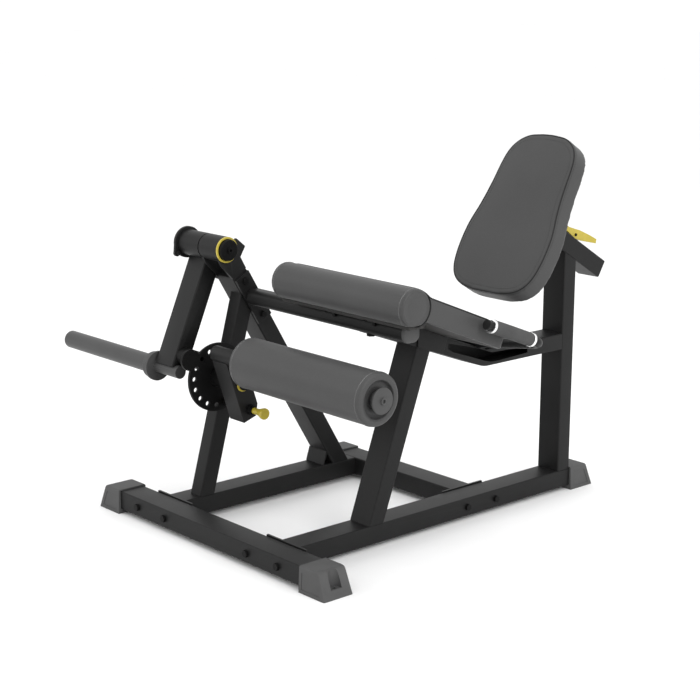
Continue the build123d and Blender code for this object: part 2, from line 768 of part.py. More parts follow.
handle_corner = grip_point(grip_length + 44)
handle_cross = (HANDLE_CROSS_Y, rail_top(HANDLE_CROSS_Y)[1] + HANDLE_R - HANDLE_SEAT)
handle_path = [
    at(-GRIP_LAT, *grip_point(-14)),
    at(-GRIP_LAT, *handle_corner),
    at(-HALF_W, *handle_cross),
    at(HALF_W, *handle_cross),
    at(GRIP_LAT, *handle_corner),
    at(GRIP_LAT, *grip_point(-14)),
]
with BuildPart() as handle_bar:
    with BuildLine():
        bar_line = FilletPolyline(*handle_path, radius=38)
    with BuildSketch(Plane(origin=bar_line @ 0, z_dir=bar_line % 0)):
        Circle(HANDLE_R)
    sweep(path=bar_line)
    with BuildSketch(side(-HALF_W)):
        Polygon(
            rail_bottom(HANDLE_CROSS_Y - 60), RAIL_BEND, bend_top,
            rail_top(HANDLE_CROSS_Y - 60), align=None,
        )
    extrude(amount=TUBE_W, mode=Mode.SUBTRACT)
pieces["handle_bar"] = handle_bar


def grip_stack(radius, start, length):
    """Sleeves of one radius around both ends of the handle bar."""
    with BuildPart() as sleeves:
        for sign in (-1, 1):
            low = Vector(*at(sign * GRIP_LAT, *grip_point(start)))
            high = Vector(*at(sign * GRIP_LAT, *grip_point(start + length)))
            with BuildSketch(Plane(origin=low, z_dir=high - low)):
                Circle(radius)
                Circle(HANDLE_R, mode=Mode.SUBTRACT)
            extrude(amount=length)
    return sleeves


pieces["handle_grips"] = grip_stack(GRIP_R, RING_W, grip_length - 2 * RING_W)
front_rings = grip_stack(RING_R, 0, RING_W)
rear_rings = grip_stack(RING_R, grip_length - RING_W, RING_W)
with BuildPart() as grip_rings:
    add(front_rings.part)
    add(rear_rings.part)
pieces["grip_rings"] = grip_rings

# ---------------------------------------------------------------- back-rest slide
with BuildPart() as back_sleeve:
    with BuildSketch(slide_plane(-SLEEVE_LENGTH)):
        RectangleRounded(TUBE_W, SLEEVE_H, TUBE_R)
        Rectangle(TUBE_W - 2 * WALL, SLEEVE_H - 2 * WALL, mode=Mode.SUBTRACT)
    extrude(amount=SLEEVE_LENGTH)
    with BuildSketch(slide_plane(LATCH_AT - 7)):
        with Locations((0, SLEEVE_H / 2)):
            Rectangle(14, 3 * WALL)
    extrude(amount=14, mode=Mode.SUBTRACT)
pieces["back_sleeve"] = back_sleeve

LINER_GAP = 0.15
with BuildPart() as sleeve_liner:
    with BuildSketch(slide_plane(-SLEEVE_LENGTH)):
        Rectangle(TUBE_W - 2 * WALL, SLEEVE_H - 2 * WALL)
        Rectangle(SLIDE_W + 2 * LINER_GAP, SLIDE_H + 2 * LINER_GAP, mode=Mode.SUBTRACT)
    extrude(amount=SLEEVE_LENGTH)
    with BuildSketch(slide_plane(LATCH_AT - 7)):
        with Locations((0, SLEEVE_H / 2)):
            Rectangle(14, SLEEVE_H / 2)
    extrude(amount=14, mode=Mode.SUBTRACT)
pieces["sleeve_liner"] = sleeve_liner

# Slide tube with latch holes every 20 mm along its top.
SLIDE_BACK = -180.0
HOLE_PITCH = 20.0
with BuildPart() as slide_tube:
    with BuildSketch(slide_plane(SLIDE_BACK)):
        RectangleRounded(SLIDE_W, SLIDE_H, WALL)
        Rectangle(SLIDE_W - 2 * WALL, SLIDE_H - 2 * WALL, mode=Mode.SUBTRACT)
    extrude(amount=SLIDE_OUT - SLIDE_BACK)
    for step in range(-3, 5):
        with BuildSketch(slide_plane(LATCH_AT + HOLE_PITCH * step - 6)):
            with Locations((0, SLIDE_H / 2)):
                Rectangle(12, 3 * WALL)
        extrude(amount=12, mode=Mode.SUBTRACT)
pieces["slide_tube"] = slide_tube

BACK_PLANE = SLIDE_OUT + PLATE_THICK
BACK_FRONT = BACK_PLANE + BACK_THICK
with BuildPart() as back_plate:
    with BuildSketch(slide_plane(SLIDE_OUT)):
        RectangleRounded(150, 260, 12)
    extrude(amount=PLATE_THICK)
pieces["back_plate"] = back_plate


back_half = [
    (0, -233),
    (50, -232),
    (92, -224),
    (122, -207),
    (141, -178),
    (150, -135),
    (152, -90),
    (149, -50),
    (137, 5),
    (130, 50),
    (126, 90),
    (123, 130),
    (117, 165),
    (103, 192),
    (82, 210),
    (54, 221),
    (0, 225),
]


def back_outline(shrink):
    """Points round the waisted back pad, or round its board at a smaller scale."""
    right = [(x * shrink, y * shrink) for x, y in back_half]
    return right + [(-x, y) for x, y in reversed(right[1:-1])]


BACK_BOARD = 12.0
BOARD_SHRINK = 0.9
BACK_ROUND = 8.0
with BuildPart() as back_board:
    with BuildSketch(slide_plane(BACK_PLANE)):
        with BuildLine():
            Spline(*back_outline(BOARD_SHRINK), periodic=True)
        make_face()
    extrude(amount=BACK_BOARD)
pieces["back_board"] = back_board
with BuildPart() as back_pad:
    with BuildSketch(slide_plane(BACK_PLANE)):
        with BuildLine():
            Spline(*back_outline(1), periodic=True)
        make_face()
    extrude(amount=BACK_THICK)
    slide_axis = Axis(slide_plane(0).origin, slide_plane(0).z_dir)
    fillet(back_pad.faces().sort_by(slide_axis)[-1].edges(), BACK_ROUND)
    add(back_board.part, mode=Mode.SUBTRACT)
pieces["back_pad"] = back_pad

# ---------------------------------------------------------------- release lever and latch pin
LATCH_PIVOT_AT = -54.0
LATCH_PIVOT_N = 38.0
EAR_LAT = 10.0
EAR_PLATE = 3.0
LEVER_PIN_R = 4.0
CHEEK_IN = 18.0
CHEEK_OUT = 24.0


def latch_side(lat):
    """Side plane in the slide's own directions: first axis forward, second square to it, up."""
    flat = slide_plane(0)
    return Plane(origin=at(lat, *SLEEVE_FRONT), x_dir=flat.z_dir, z_dir=(-1, 0, 0))


with BuildPart() as latch_ears:
    for high in (-EAR_LAT, EAR_LAT + EAR_PLATE):
        with BuildSketch(latch_side(high)):
            Polygon(
                (-68, SLEEVE_H / 2), (-40, SLEEVE_H / 2), (-44, 42), (-48, 44), (-60, 44),
                (-64, 42), align=None,
            )
            with Locations((LATCH_PIVOT_AT, LATCH_PIVOT_N)):
                Circle(LEVER_PIN_R, mode=Mode.SUBTRACT)
        extrude(amount=EAR_PLATE)
pieces["latch_ears"] = latch_ears

with BuildPart() as lever_pin:
    with BuildSketch(latch_side(CHEEK_OUT + 3)):
        with Locations((LATCH_PIVOT_AT, LATCH_PIVOT_N)):
            Circle(LEVER_PIN_R)
    extrude(amount=2 * (CHEEK_OUT + 3))
pieces["lever_pin"] = lever_pin

LATCH_R = 5.0
# Release lever: a channel over its ears, with a thumb blade behind and a fork in front.
cheek_outline = [
    (0, 34), (0, 44), (-19, 45), (-50, 52.5), (-63, 56), (-110, 62.5), (-141, 65), (-145, 54),
    (-120, 46), (-84, 34), (-60, 28.5), (-30, 31),
]
web_outline = [
    (-56, 49), (-56, 54), (-63, 56), (-110, 62.5), (-141, 65), (-145, 54), (-120, 46),
    (-100, 40), (-97, 55), (-66, 51.5),
]
with BuildPart() as release_lever:
    for high in (-CHEEK_IN, CHEEK_OUT):
        with BuildSketch(latch_side(high)):
            Polygon(*cheek_outline, align=None)
        extrude(amount=CHEEK_OUT - CHEEK_IN)
    with BuildSketch(latch_side(CHEEK_OUT)):
        Polygon(*web_outline, align=None)
        Polygon((-32, 40), (0, 40), (0, 44), (-19, 45), (-32, 46), align=None)
    extrude(amount=2 * CHEEK_OUT)
    with BuildSketch(latch_side(CHEEK_OUT)):
        with Locations((LATCH_PIVOT_AT, LATCH_PIVOT_N)):
            Circle(LEVER_PIN_R + RUNNING_GAP)
    extrude(amount=2 * CHEEK_OUT, mode=Mode.SUBTRACT)
    with BuildSketch(latch_side(LATCH_R + 1.5)):
        Polygon((-26, 30), (10, 30), (10, 60), (-26, 60), align=None)
    extrude(amount=2 * (LATCH_R + 1.5), mode=Mode.SUBTRACT)
pieces["release_lever"] = release_lever

latch_base = slide_plane(LATCH_AT)
latch_up = Plane(origin=latch_base.origin, x_dir=(1, 0, 0), z_dir=latch_base.y_dir)
LATCH_LOW = SLIDE_H / 2 + 0.5     # tip just clear of the slide tube: the latch is stored lifted
LATCH_HEAD = 48.5
with BuildPart() as latch_pin:
    with BuildSketch(latch_up.offset(LATCH_LOW)):
        Circle(LATCH_R)
    extrude(amount=LATCH_HEAD - LATCH_LOW)
    with BuildSketch(latch_up.offset(LATCH_HEAD)):
        Circle(8)
    extrude(amount=4)
pieces["latch_pin"] = latch_pin

# ---------------------------------------------------------------- weight arm
HUB_LOW = -596.0
HUB_HIGH = -509.0
FLANGE_R = 42.0
HUB_WEB = 10.0
with BuildPart() as arm_hub:
    with Locations(across(HUB_LOW, KNEE_AXIS)):
        Cylinder(HUB_R, HUB_HIGH - HUB_LOW, align=FROM_START)
        Cylinder(SHAFT_R, HUB_HIGH - HUB_LOW, align=FROM_START, mode=Mode.SUBTRACT)
    with Locations(across(HUB_LOW + HUB_WEB, KNEE_AXIS)):
        Cylinder(
            HUB_R - 4, HUB_HIGH - HUB_LOW - 2 * HUB_WEB, align=FROM_START, mode=Mode.SUBTRACT
        )
pieces["arm_hub"] = arm_hub

END_FLANGE = 8.0
TAB_R = 9.0
tab_middle = arm_point(38.0, -22.0)
with BuildPart() as end_flange:
    with BuildSketch(side(HUB_LOW - END_FLANGE)):
        with Locations(KNEE_AXIS):
            Circle(FLANGE_R)
        with BuildLine():
            Polyline(
                arm_point(10, -40), arm_point(38, -22 - TAB_R), arm_point(38 + TAB_R, -22),
                arm_point(30, 0), close=True,
            )
        make_face()
        with Locations(tab_middle):
            Circle(TAB_R)
    extrude(amount=END_FLANGE)
    with BuildSketch(side(HUB_LOW)):
        with Locations(tab_middle):
            RegularPolygon(6, 6)
    extrude(amount=5)
    with Locations(across(HUB_LOW - END_FLANGE, KNEE_AXIS)):
        Cylinder(SHAFT_R, END_FLANGE, align=FROM_START, mode=Mode.SUBTRACT)
pieces["end_flange"] = end_flange

SHAFT_CAP_W = 15.0
shaft_low = HUB_LOW - END_FLANGE
with BuildPart() as knee_shaft:
    with Locations(across(shaft_low, KNEE_AXIS)):
        Cylinder(SHAFT_R, LEFT_NEAR - shaft_low + BODY_GAP, align=FROM_START)
    with Locations(across(LEFT_NEAR + BODY_GAP, KNEE_AXIS)):
        Cylinder(CAP_R, SHAFT_CAP_W, align=FROM_START)
    cap_edge = knee_shaft.edges().filter_by(GeomType.CIRCLE).sort_by(Axis.X)[-1]
    fillet(cap_edge, 3.0)
    with BuildSketch(side(LEFT_NEAR + BODY_GAP + SHAFT_CAP_W)):
        with Locations(KNEE_AXIS):
            Circle(7.5)
            RegularPolygon(4, 6, mode=Mode.SUBTRACT)
    extrude(amount=5)
pieces["knee_shaft"] = knee_shaft

ARM_FAR = ARM_NEAR - TUBE_W
arm_box = box_tube(
    [
        arm_point(ARM_LENGTH, ARM_FRONT_N),
        arm_point(ARM_LENGTH, ARM_REAR_N),
        arm_point(6, ARM_REAR_N),
        arm_point(6, ARM_FRONT_N),
    ],
    ARM_FAR,
    ARM_NEAR,
)
horn_axis = arm_point(HORN_T, HORN_N)
with BuildPart() as arm_tube:
    add(arm_box.part)
    with BuildSketch(side(ARM_FAR)):
        Polygon(
            arm_point(6, ARM_FRONT_N), arm_point(6, ARM_REAR_N), arm_point(10, ARM_REAR_N),
            arm_point(10, ARM_FRONT_N), align=None,
        )
    extrude(amount=TUBE_W)
    with Locations(across(ARM_FAR, KNEE_AXIS)):
        Cylinder(HUB_R, TUBE_W, align=FROM_START, mode=Mode.SUBTRACT)
    with Locations(across(ARM_FAR, horn_axis)):
        Cylinder(HORN_CORE_R, TUBE_W, align=FROM_START, mode=Mode.SUBTRACT)
pieces["arm_tube"] = arm_tube

HORN_START = -622.0
HORN_GROOVE = 3.0           # relief beside the collar
with BuildPart() as weight_horn:
    with Locations(across(HORN_DISC_LOW, horn_axis)):
        Cylinder(HORN_CORE_R, HORN_CORE_END - HORN_DISC_LOW, align=FROM_START)
        Cylinder(HORN_DISC_R, DISC_THICK, align=FROM_START)
    with Locations(across(HORN_END, horn_axis)):
        Cylinder(HORN_R, HORN_DISC_LOW - HORN_END, align=FROM_START)
    with Locations(across(HORN_START - HORN_GROOVE, horn_axis)):
        Cylinder(HORN_R, HORN_GROOVE, align=FROM_START, mode=Mode.SUBTRACT)
        Cylinder(HORN_R - 1.0, HORN_GROOVE, align=FROM_START)
    horn_rim = weight_horn.edges().filter_by(GeomType.CIRCLE).sort_by(Axis.X)[0]
    fillet(horn_rim, 3.0)
pieces["weight_horn"] = weight_horn

with BuildPart() as horn_collar:
    with Locations(across(HORN_START, horn_axis)):
        Cylinder(36.0, HORN_DISC_LOW - HORN_START, align=FROM_START)
        Cylinder(HORN_R, HORN_DISC_LOW - HORN_START, align=FROM_START, mode=Mode.SUBTRACT)
    fillet(horn_collar.edges().filter_by(GeomType.CIRCLE).sort_by(Axis.X)[:1], 3.0)
pieces["horn_collar"] = horn_collar

# Selector disc: sixteen pin holes round the lever pivot, an ear, and the tube that carries it.
CARRIER_R = 23.0
carrier_axis = arm_point(294.0, 34.0)
EAR_AXIS = (100.0, 428.0)
DISC_EAR_R = 28.0
pin_angle = -math.degrees(LEVER_ANGLE)
with BuildPart() as selector_disc:
    with BuildSketch(side(DISC_LOW)):
        with Locations(DISC_AXIS):
            Circle(DISC_R)
        with Locations(EAR_AXIS):
            Circle(DISC_EAR_R)
        with Locations((EAR_AXIS[0] + 22, EAR_AXIS[1] - 15)):
            Circle(DISC_EAR_R)
        with Locations(DISC_AXIS):
            with PolarLocations(DISC_PITCH_R, DISC_HOLES, start_angle=pin_angle):
                Circle(PIN_HOLE_R, mode=Mode.SUBTRACT)
            Circle(SHAFT_R, mode=Mode.SUBTRACT)
    extrude(amount=DISC_THICK)
pieces["selector_disc"] = selector_disc

with BuildPart() as disc_carrier:
    with Locations(across(ARM_NEAR, carrier_axis)):
        Cylinder(CARRIER_R, DISC_LOW - ARM_NEAR, align=FROM_START)
        Cylinder(CARRIER_R - 4, DISC_LOW - ARM_NEAR, align=FROM_START, mode=Mode.SUBTRACT)
pieces["disc_carrier"] = disc_carrier

# Lever pivot: a shoulder pin welded in the disc, with its retaining cap.
DISC_HIGH = DISC_LOW + DISC_THICK
LEVER_HIGH = LEVER_LOW + LEVER_W
RING_THICK = 5.0
with BuildPart() as lever_pivot:
    with Locations(across(DISC_LOW, DISC_AXIS)):
        Cylinder(SHAFT_R, LEVER_HIGH + RING_THICK + BODY_GAP - DISC_LOW, align=FROM_START)
    with Locations(across(DISC_HIGH, DISC_AXIS)):
        Cylinder(25.0, LEVER_LOW - BODY_GAP - DISC_HIGH, align=FROM_START)
    with Locations(across(LEVER_HIGH + RING_THICK + BODY_GAP, DISC_AXIS)):
        Cylinder(14.0, 7.0, align=FROM_START)
    fillet(lever_pivot.edges().filter_by(GeomType.CIRCLE).sort_by(Axis.X)[-1], 2.0)
pieces["lever_pivot"] = lever_pivot

# ---------------------------------------------------------------- roller lever
LEVER_UP = 79.0
LEVER_DOWN = 100.0
CHAMFER_DEPTH = 15.0
CHAMFER_RISE = 28.0
BUSH_R = 18.0
BARREL_R = 11.0
half_depth = LEVER_DEPTH / 2
lever_outline = [
    lever_point(LEVER_DOWN, -half_depth),
    lever_point(LEVER_DOWN, half_depth - CHAMFER_DEPTH),
    lever_point(LEVER_DOWN - CHAMFER_RISE, half_depth),
    lever_point(-LEVER_UP, half_depth),
    lever_point(-LEVER_UP, -half_depth),
]
inner_half = half_depth - WALL
lever_bore = [
    lever_point(LEVER_DOWN - WALL, -inner_half),
    lever_point(LEVER_DOWN - WALL, inner_half - CHAMFER_DEPTH),
    lever_point(LEVER_DOWN - CHAMFER_RISE, inner_half),
    lever_point(-LEVER_UP, inner_half),
    lever_point(-LEVER_UP, -inner_half),
]
pin_axis = lever_point(DISC_PITCH_R, 0)
with BuildPart() as lever_tube:
    with BuildSketch(side(LEVER_LOW)):
        Polygon(*lever_outline, align=None)
    extrude(amount=LEVER_W)
    with BuildSketch(side(LEVER_LOW + WALL)):
        Polygon(*lever_bore, align=None)
    extrude(amount=LEVER_W - 2 * WALL, mode=Mode.SUBTRACT)
    with Locations(across(LEVER_LOW, DISC_AXIS)):
        Cylinder(BUSH_R, LEVER_W, align=FROM_START)
        Cylinder(SHAFT_R + RUNNING_GAP, LEVER_W, align=FROM_START, mode=Mode.SUBTRACT)
    with Locations(across(LEVER_LOW, pin_axis)):
        Cylinder(BARREL_R, LEVER_W, align=FROM_START, mode=Mode.SUBTRACT)
    with Locations(across(LEVER_LOW, ROLLER_AXIS)):
        Cylinder(STUB_R, LEVER_W, align=FROM_START, mode=Mode.SUBTRACT)
pieces["lever_tube"] = lever_tube

with BuildPart() as lever_ring:
    with Locations(across(LEVER_HIGH, DISC_AXIS)):
        Cylinder(18.0, RING_THICK, align=FROM_START)
        Cylinder(SHAFT_R + RUNNING_GAP, RING_THICK, align=FROM_START, mode=Mode.SUBTRACT)
    fillet(lever_ring.edges().filter_by(GeomType.CIRCLE).sort_by(SortBy.RADIUS)[-1], 1.5)
pieces["lever_ring"] = lever_ring

# Barrel of the pull pin, screwed through the lever and reaching towards the disc.
BARREL_LOW = DISC_HIGH + 6.0
BARREL_HIGH = LEVER_HIGH + 18.0
NECK_R = 8.5
NECK_POCKET = 13.0          # the knob's neck sinks this far into the barrel as the pin engages
with BuildPart() as pin_barrel:
    with Locations(across(BARREL_LOW, pin_axis)):
        Cylinder(BARREL_R, BARREL_HIGH - BARREL_LOW, align=FROM_START)
    with BuildSketch(side(LEVER_HIGH)):
        with Locations(pin_axis):
            RegularPolygon(14, 6)
    extrude(amount=9)
    with Locations(across(BARREL_LOW, pin_axis)):
        Cylinder(
            PIN_R + RUNNING_GAP, BARREL_HIGH - BARREL_LOW, align=FROM_START, mode=Mode.SUBTRACT
        )
    with Locations(across(BARREL_HIGH - NECK_POCKET, pin_axis)):
        Cylinder(NECK_R + 0.5, NECK_POCKET, align=FROM_START, mode=Mode.SUBTRACT)
pieces["pin_barrel"] = pin_barrel

KNOB_LOW = BARREL_HIGH + BODY_GAP
KNOB_NECK = 20.0
KNOB_HEAD = 26.0
PIN_LOW = DISC_HIGH + 1.0      # tip just clear of the disc: the pin is stored drawn back
with BuildPart() as pull_pin:
    with Locations(across(PIN_LOW, pin_axis)):
        Cylinder(PIN_R, KNOB_LOW - PIN_LOW + 6, align=FROM_START)
    with Locations(across(KNOB_LOW, pin_axis)):
        Cylinder(NECK_R, KNOB_NECK + 6, align=FROM_START)
    with Locations(across(KNOB_LOW + KNOB_NECK, pin_axis)):
        Cone(9.0, 15.0, KNOB_HEAD - 8, align=FROM_START)
    with Locations(across(KNOB_LOW + KNOB_NECK + KNOB_HEAD - 8, pin_axis)):
        Cylinder(15.0, 8, align=FROM_START)
    fillet(pull_pin.edges().filter_by(GeomType.CIRCLE).sort_by(Axis.X)[-1], 3.0)
pieces["pull_pin"] = pull_pin

# ---------------------------------------------------------------- shin roller
SPINDLE_R = 12.5
CORE_R = 24.0
STUB_END = -ROLLER_HALF - BODY_GAP - 3.0
RECESS = 12.0
CAP_DISC_R = 32.0
RECESS_R = 46.0
spindle_end = ROLLER_HALF - RECESS + BODY_GAP
with BuildPart() as roller_shaft:
    with Locations(across(LEVER_LOW, ROLLER_AXIS)):
        Cylinder(STUB_R, STUB_END - LEVER_LOW, align=FROM_START)
        Cylinder(SPINDLE_R, spindle_end - LEVER_LOW, align=FROM_START)
pieces["roller_shaft"] = roller_shaft

with BuildPart() as roller_core:
    with Locations(across(-ROLLER_HALF, ROLLER_AXIS)):
        Cylinder(CORE_R, 2 * ROLLER_HALF - RECESS, align=FROM_START)
        Cylinder(
            SPINDLE_R + RUNNING_GAP, 2 * ROLLER_HALF - RECESS, align=FROM_START,
            mode=Mode.SUBTRACT,
        )
pieces["roller_core"] = roller_core

with BuildPart() as roller_pad:
    with Locations(across(-ROLLER_HALF, ROLLER_AXIS)):
        Cylinder(ROLLER_R, 2 * ROLLER_HALF, align=FROM_START)
    fillet(roller_pad.edges().filter_by(GeomType.CIRCLE), 12.0)
    with Locations(across(-ROLLER_HALF, ROLLER_AXIS)):
        Cylinder(CORE_R, 2 * ROLLER_HALF, align=FROM_START, mode=Mode.SUBTRACT)
    with Locations(across(ROLLER_HALF - RECESS, ROLLER_AXIS)):
        Cylinder(RECESS_R, RECESS, align=FROM_START, mode=Mode.SUBTRACT)
pieces["roller_pad"] = roller_pad

# The cap's disc stands proud of the roller's end on a neck.
CAP_NECK_R = 20.0
CAP_DISC_W = 6.0
CAP_PROUD = 13.0
cap_disc_low = ROLLER_HALF + CAP_PROUD - CAP_DISC_W
with BuildPart() as roller_end_cap:
    with Locations(across(spindle_end, ROLLER_AXIS)):
        Cylinder(CAP_NECK_R, cap_disc_low - spindle_end, align=FROM_START)
    with Locations(across(cap_disc_low, ROLLER_AXIS)):
        Cylinder(CAP_DISC_R, CAP_DISC_W, align=FROM_START)
    fillet(roller_end_cap.edges().filter_by(GeomType.CIRCLE).sort_by(Axis.X)[-1], 2.5)
    with BuildSketch(side(ROLLER_HALF + CAP_PROUD)):
        with Locations(ROLLER_AXIS):
            Circle(8.5)
            RegularPolygon(4.5, 6, mode=Mode.SUBTRACT)
    extrude(amount=4.5)
pieces["roller_end_cap"] = roller_end_cap

# ---------------------------------------------------------------- write every piece
for name, piece in pieces.items():
    piece.part.label = name
    export_step(piece.part, f"parts/{name}.step")
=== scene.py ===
import json
import math

import bmesh
import bpy
from mathutils import Matrix, Vector
from mathutils.kdtree import KDTree


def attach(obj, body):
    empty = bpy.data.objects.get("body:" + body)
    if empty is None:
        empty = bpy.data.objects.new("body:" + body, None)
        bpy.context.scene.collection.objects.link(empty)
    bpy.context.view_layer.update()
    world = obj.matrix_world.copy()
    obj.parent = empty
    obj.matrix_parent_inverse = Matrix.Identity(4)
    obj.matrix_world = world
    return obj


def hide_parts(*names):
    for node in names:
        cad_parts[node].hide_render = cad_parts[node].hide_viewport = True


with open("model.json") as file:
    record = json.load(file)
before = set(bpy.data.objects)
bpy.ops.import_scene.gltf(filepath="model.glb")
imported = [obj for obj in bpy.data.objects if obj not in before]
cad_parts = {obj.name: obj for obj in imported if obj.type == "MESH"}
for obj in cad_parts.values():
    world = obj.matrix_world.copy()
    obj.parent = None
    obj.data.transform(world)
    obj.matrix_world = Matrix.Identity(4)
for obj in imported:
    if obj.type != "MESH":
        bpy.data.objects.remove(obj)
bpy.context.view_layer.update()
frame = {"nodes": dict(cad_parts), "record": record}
nodes = frame["nodes"]

# ------------------------------------------------------------------ the machine's own places, in metres
SEAT_X, FRONT_Y, BASE_Z = 0.3695, -0.5879, 0.012
SLIDE_ANGLE = math.radians(31.0)
SEAT_ANGLE = math.radians(21.9)
ROLLER_AXIS = (0.148, 0.447)
ROLL_AXIS = (0.266, 0.644)
GRIP_FRONT, GRIP_REAR = (0.485, 0.578), (0.634, 0.521)


def at(lat, along, up):
    """Row-frame point from lateral, rearward and upward distances."""
    return Vector((SEAT_X + lat, FRONT_Y + along, BASE_Z + up))


# ------------------------------------------------------------------ node materials
def new_material(name):
    m = bpy.data.materials.new(name)
    m.use_nodes = True
    return m, m.node_tree.nodes, m.node_tree.links, m.node_tree.nodes["Principled BSDF"]


def noise(n, links, coords, scale, detail=4.0, rough=0.5):
    t = n.new("ShaderNodeTexNoise")
    t.inputs["Scale"].default_value = scale
    t.inputs["Detail"].default_value = detail
    t.inputs["Roughness"].default_value = rough
    links.new(coords.outputs["Object"], t.inputs["Vector"])
    return t


def ramp(n, links, source, low, high, a=0.35, b=0.65):
    r = n.new("ShaderNodeValToRGB")
    r.color_ramp.elements[0].position = a
    r.color_ramp.elements[1].position = b
    r.color_ramp.elements[0].color = (*low, 1)
    r.color_ramp.elements[1].color = (*high, 1)
    links.new(source, r.inputs["Fac"])
    return r


def rough_range(n, links, source, low, high, target):
    m = n.new("ShaderNodeMapRange")
    m.inputs["To Min"].default_value = low
    m.inputs["To Max"].default_value = high
    links.new(source, m.inputs["Value"])
    links.new(m.outputs["Result"], target)


def bump(n, links, height, strength, distance, below=None):
    b = n.new("ShaderNodeBump")
    b.inputs["Strength"].default_value = strength
    b.inputs["Distance"].default_value = distance
    links.new(height, b.inputs["Height"])
    if below is not None:
        links.new(below.outputs["Normal"], b.inputs["Normal"])
    return b


def painted(name, low, high, rough, peel=0.25, edge=None, shine=0.2):
    """Powder coat: fine orange peel, faint mottling, paler worn edges."""
    m, n, links, p = new_material(name)
    co = n.new("ShaderNodeTexCoord")
    mottle = noise(n, links, co, 9.0, 5.0)
    tone = ramp(n, links, mottle.outputs["Fac"], low, high)
    fine = noise(n, links, co, 900.0, 2.0)
    coarse = noise(n, links, co, 240.0, 3.0)
    colour = tone.outputs["Color"]
    if edge:
        geo = n.new("ShaderNodeNewGeometry")
        wear = n.new("ShaderNodeMapRange")
        wear.inputs["From Min"].default_value = 0.53
        wear.inputs["From Max"].default_value = 0.62
        wear.inputs["To Max"].default_value = 0.6
        links.new(geo.outputs["Pointiness"], wear.inputs["Value"])
        mix = n.new("ShaderNodeMixRGB")
        mix.inputs["Color2"].default_value = (*edge, 1)
        links.new(wear.outputs["Result"], mix.inputs["Fac"])
        links.new(colour, mix.inputs["Color1"])
        colour = mix.outputs["Color"]
    links.new(colour, p.inputs["Base Color"])
    rough_range(n, links, mottle.outputs["Fac"], rough - 0.06, rough + 0.06, p.inputs["Roughness"])
    first = bump(n, links, coarse.outputs["Fac"], peel, 0.0004)
    second = bump(n, links, fine.outputs["Fac"], peel * 0.8, 0.0002, first)
    links.new(second.outputs["Normal"], p.inputs["Normal"])
    p.inputs["Specular IOR Level"].default_value = shine
    return m


def vinyl(name, low, high, rough=0.48, grain=520.0, shine=0.25):
    """Upholstery vinyl: pebbled grain, soft cloudy tone, slight sheen."""
    m, n, links, p = new_material(name)
    co = n.new("ShaderNodeTexCoord")
    cloud = noise(n, links, co, 5.0, 4.0)
    tone = ramp(n, links, cloud.outputs["Fac"], low, high)
    cells = n.new("ShaderNodeTexVoronoi")
    cells.inputs["Scale"].default_value = grain
    links.new(co.outputs["Object"], cells.inputs["Vector"])
    shade = n.new("ShaderNodeMixRGB")
    shade.blend_type = "MULTIPLY"
    shade.inputs["Fac"].default_value = 0.18
    links.new(tone.outputs["Color"], shade.inputs["Color1"])
    links.new(cells.outputs["Distance"], shade.inputs["Color2"])
    links.new(shade.outputs["Color"], p.inputs["Base Color"])
    rough_range(n, links, cloud.outputs["Fac"], rough - 0.05, rough + 0.07, p.inputs["Roughness"])
    wrinkle = noise(n, links, co, 34.0, 3.0, 0.55)
    first = bump(n, links, wrinkle.outputs["Fac"], 0.12, 0.002)
    second = bump(n, links, cells.outputs["Distance"], 0.22, 0.0004, first)
    links.new(second.outputs["Normal"], p.inputs["Normal"])
    p.inputs["Specular IOR Level"].default_value = shine
    p.inputs["Sheen Weight"].default_value = 0.03
    return m


def moulded(name, low, high, rough, texture=600.0, strength=0.2, coat=0.0):
    """Moulded rubber or plastic with a fine cast texture."""
    m, n, links, p = new_material(name)
    co = n.new("ShaderNodeTexCoord")
    cloud = noise(n, links, co, 14.0, 5.0)
    tone = ramp(n, links, cloud.outputs["Fac"], low, high)
    links.new(tone.outputs["Color"], p.inputs["Base Color"])
    fine = noise(n, links, co, texture, 3.0)
    rough_range(n, links, cloud.outputs["Fac"], rough - 0.06, rough + 0.06, p.inputs["Roughness"])
    b = bump(n, links, fine.outputs["Fac"], strength, 0.0003)
    links.new(b.outputs["Normal"], p.inputs["Normal"])
    p.inputs["Specular IOR Level"].default_value = 0.25
    p.inputs["Coat Weight"].default_value = coat
    return m


def metal(name, low, high, rough, brushed=(60.0, 900.0, 900.0)):
    """Turned or brushed metal with fine directional lines."""
    m, n, links, p = new_material(name)
    co = n.new("ShaderNodeTexCoord")
    stretch = n.new("ShaderNodeMapping")
    stretch.inputs["Scale"].default_value = brushed
    links.new(co.outputs["Object"], stretch.inputs["Vector"])
    lines = n.new("ShaderNodeTexNoise")
    lines.inputs["Scale"].default_value = 1.0
    links.new(stretch.outputs["Vector"], lines.inputs["Vector"])
    tone = ramp(n, links, lines.outputs["Fac"], low, high)
    links.new(tone.outputs["Color"], p.inputs["Base Color"])
    p.inputs["Metallic"].default_value = 1.0
    rough_range(n, links, lines.outputs["Fac"], rough - 0.06, rough + 0.08, p.inputs["Roughness"])
    b = bump(n, links, lines.outputs["Fac"], 0.08, 0.0002)
    links.new(b.outputs["Normal"], p.inputs["Normal"])
    return m


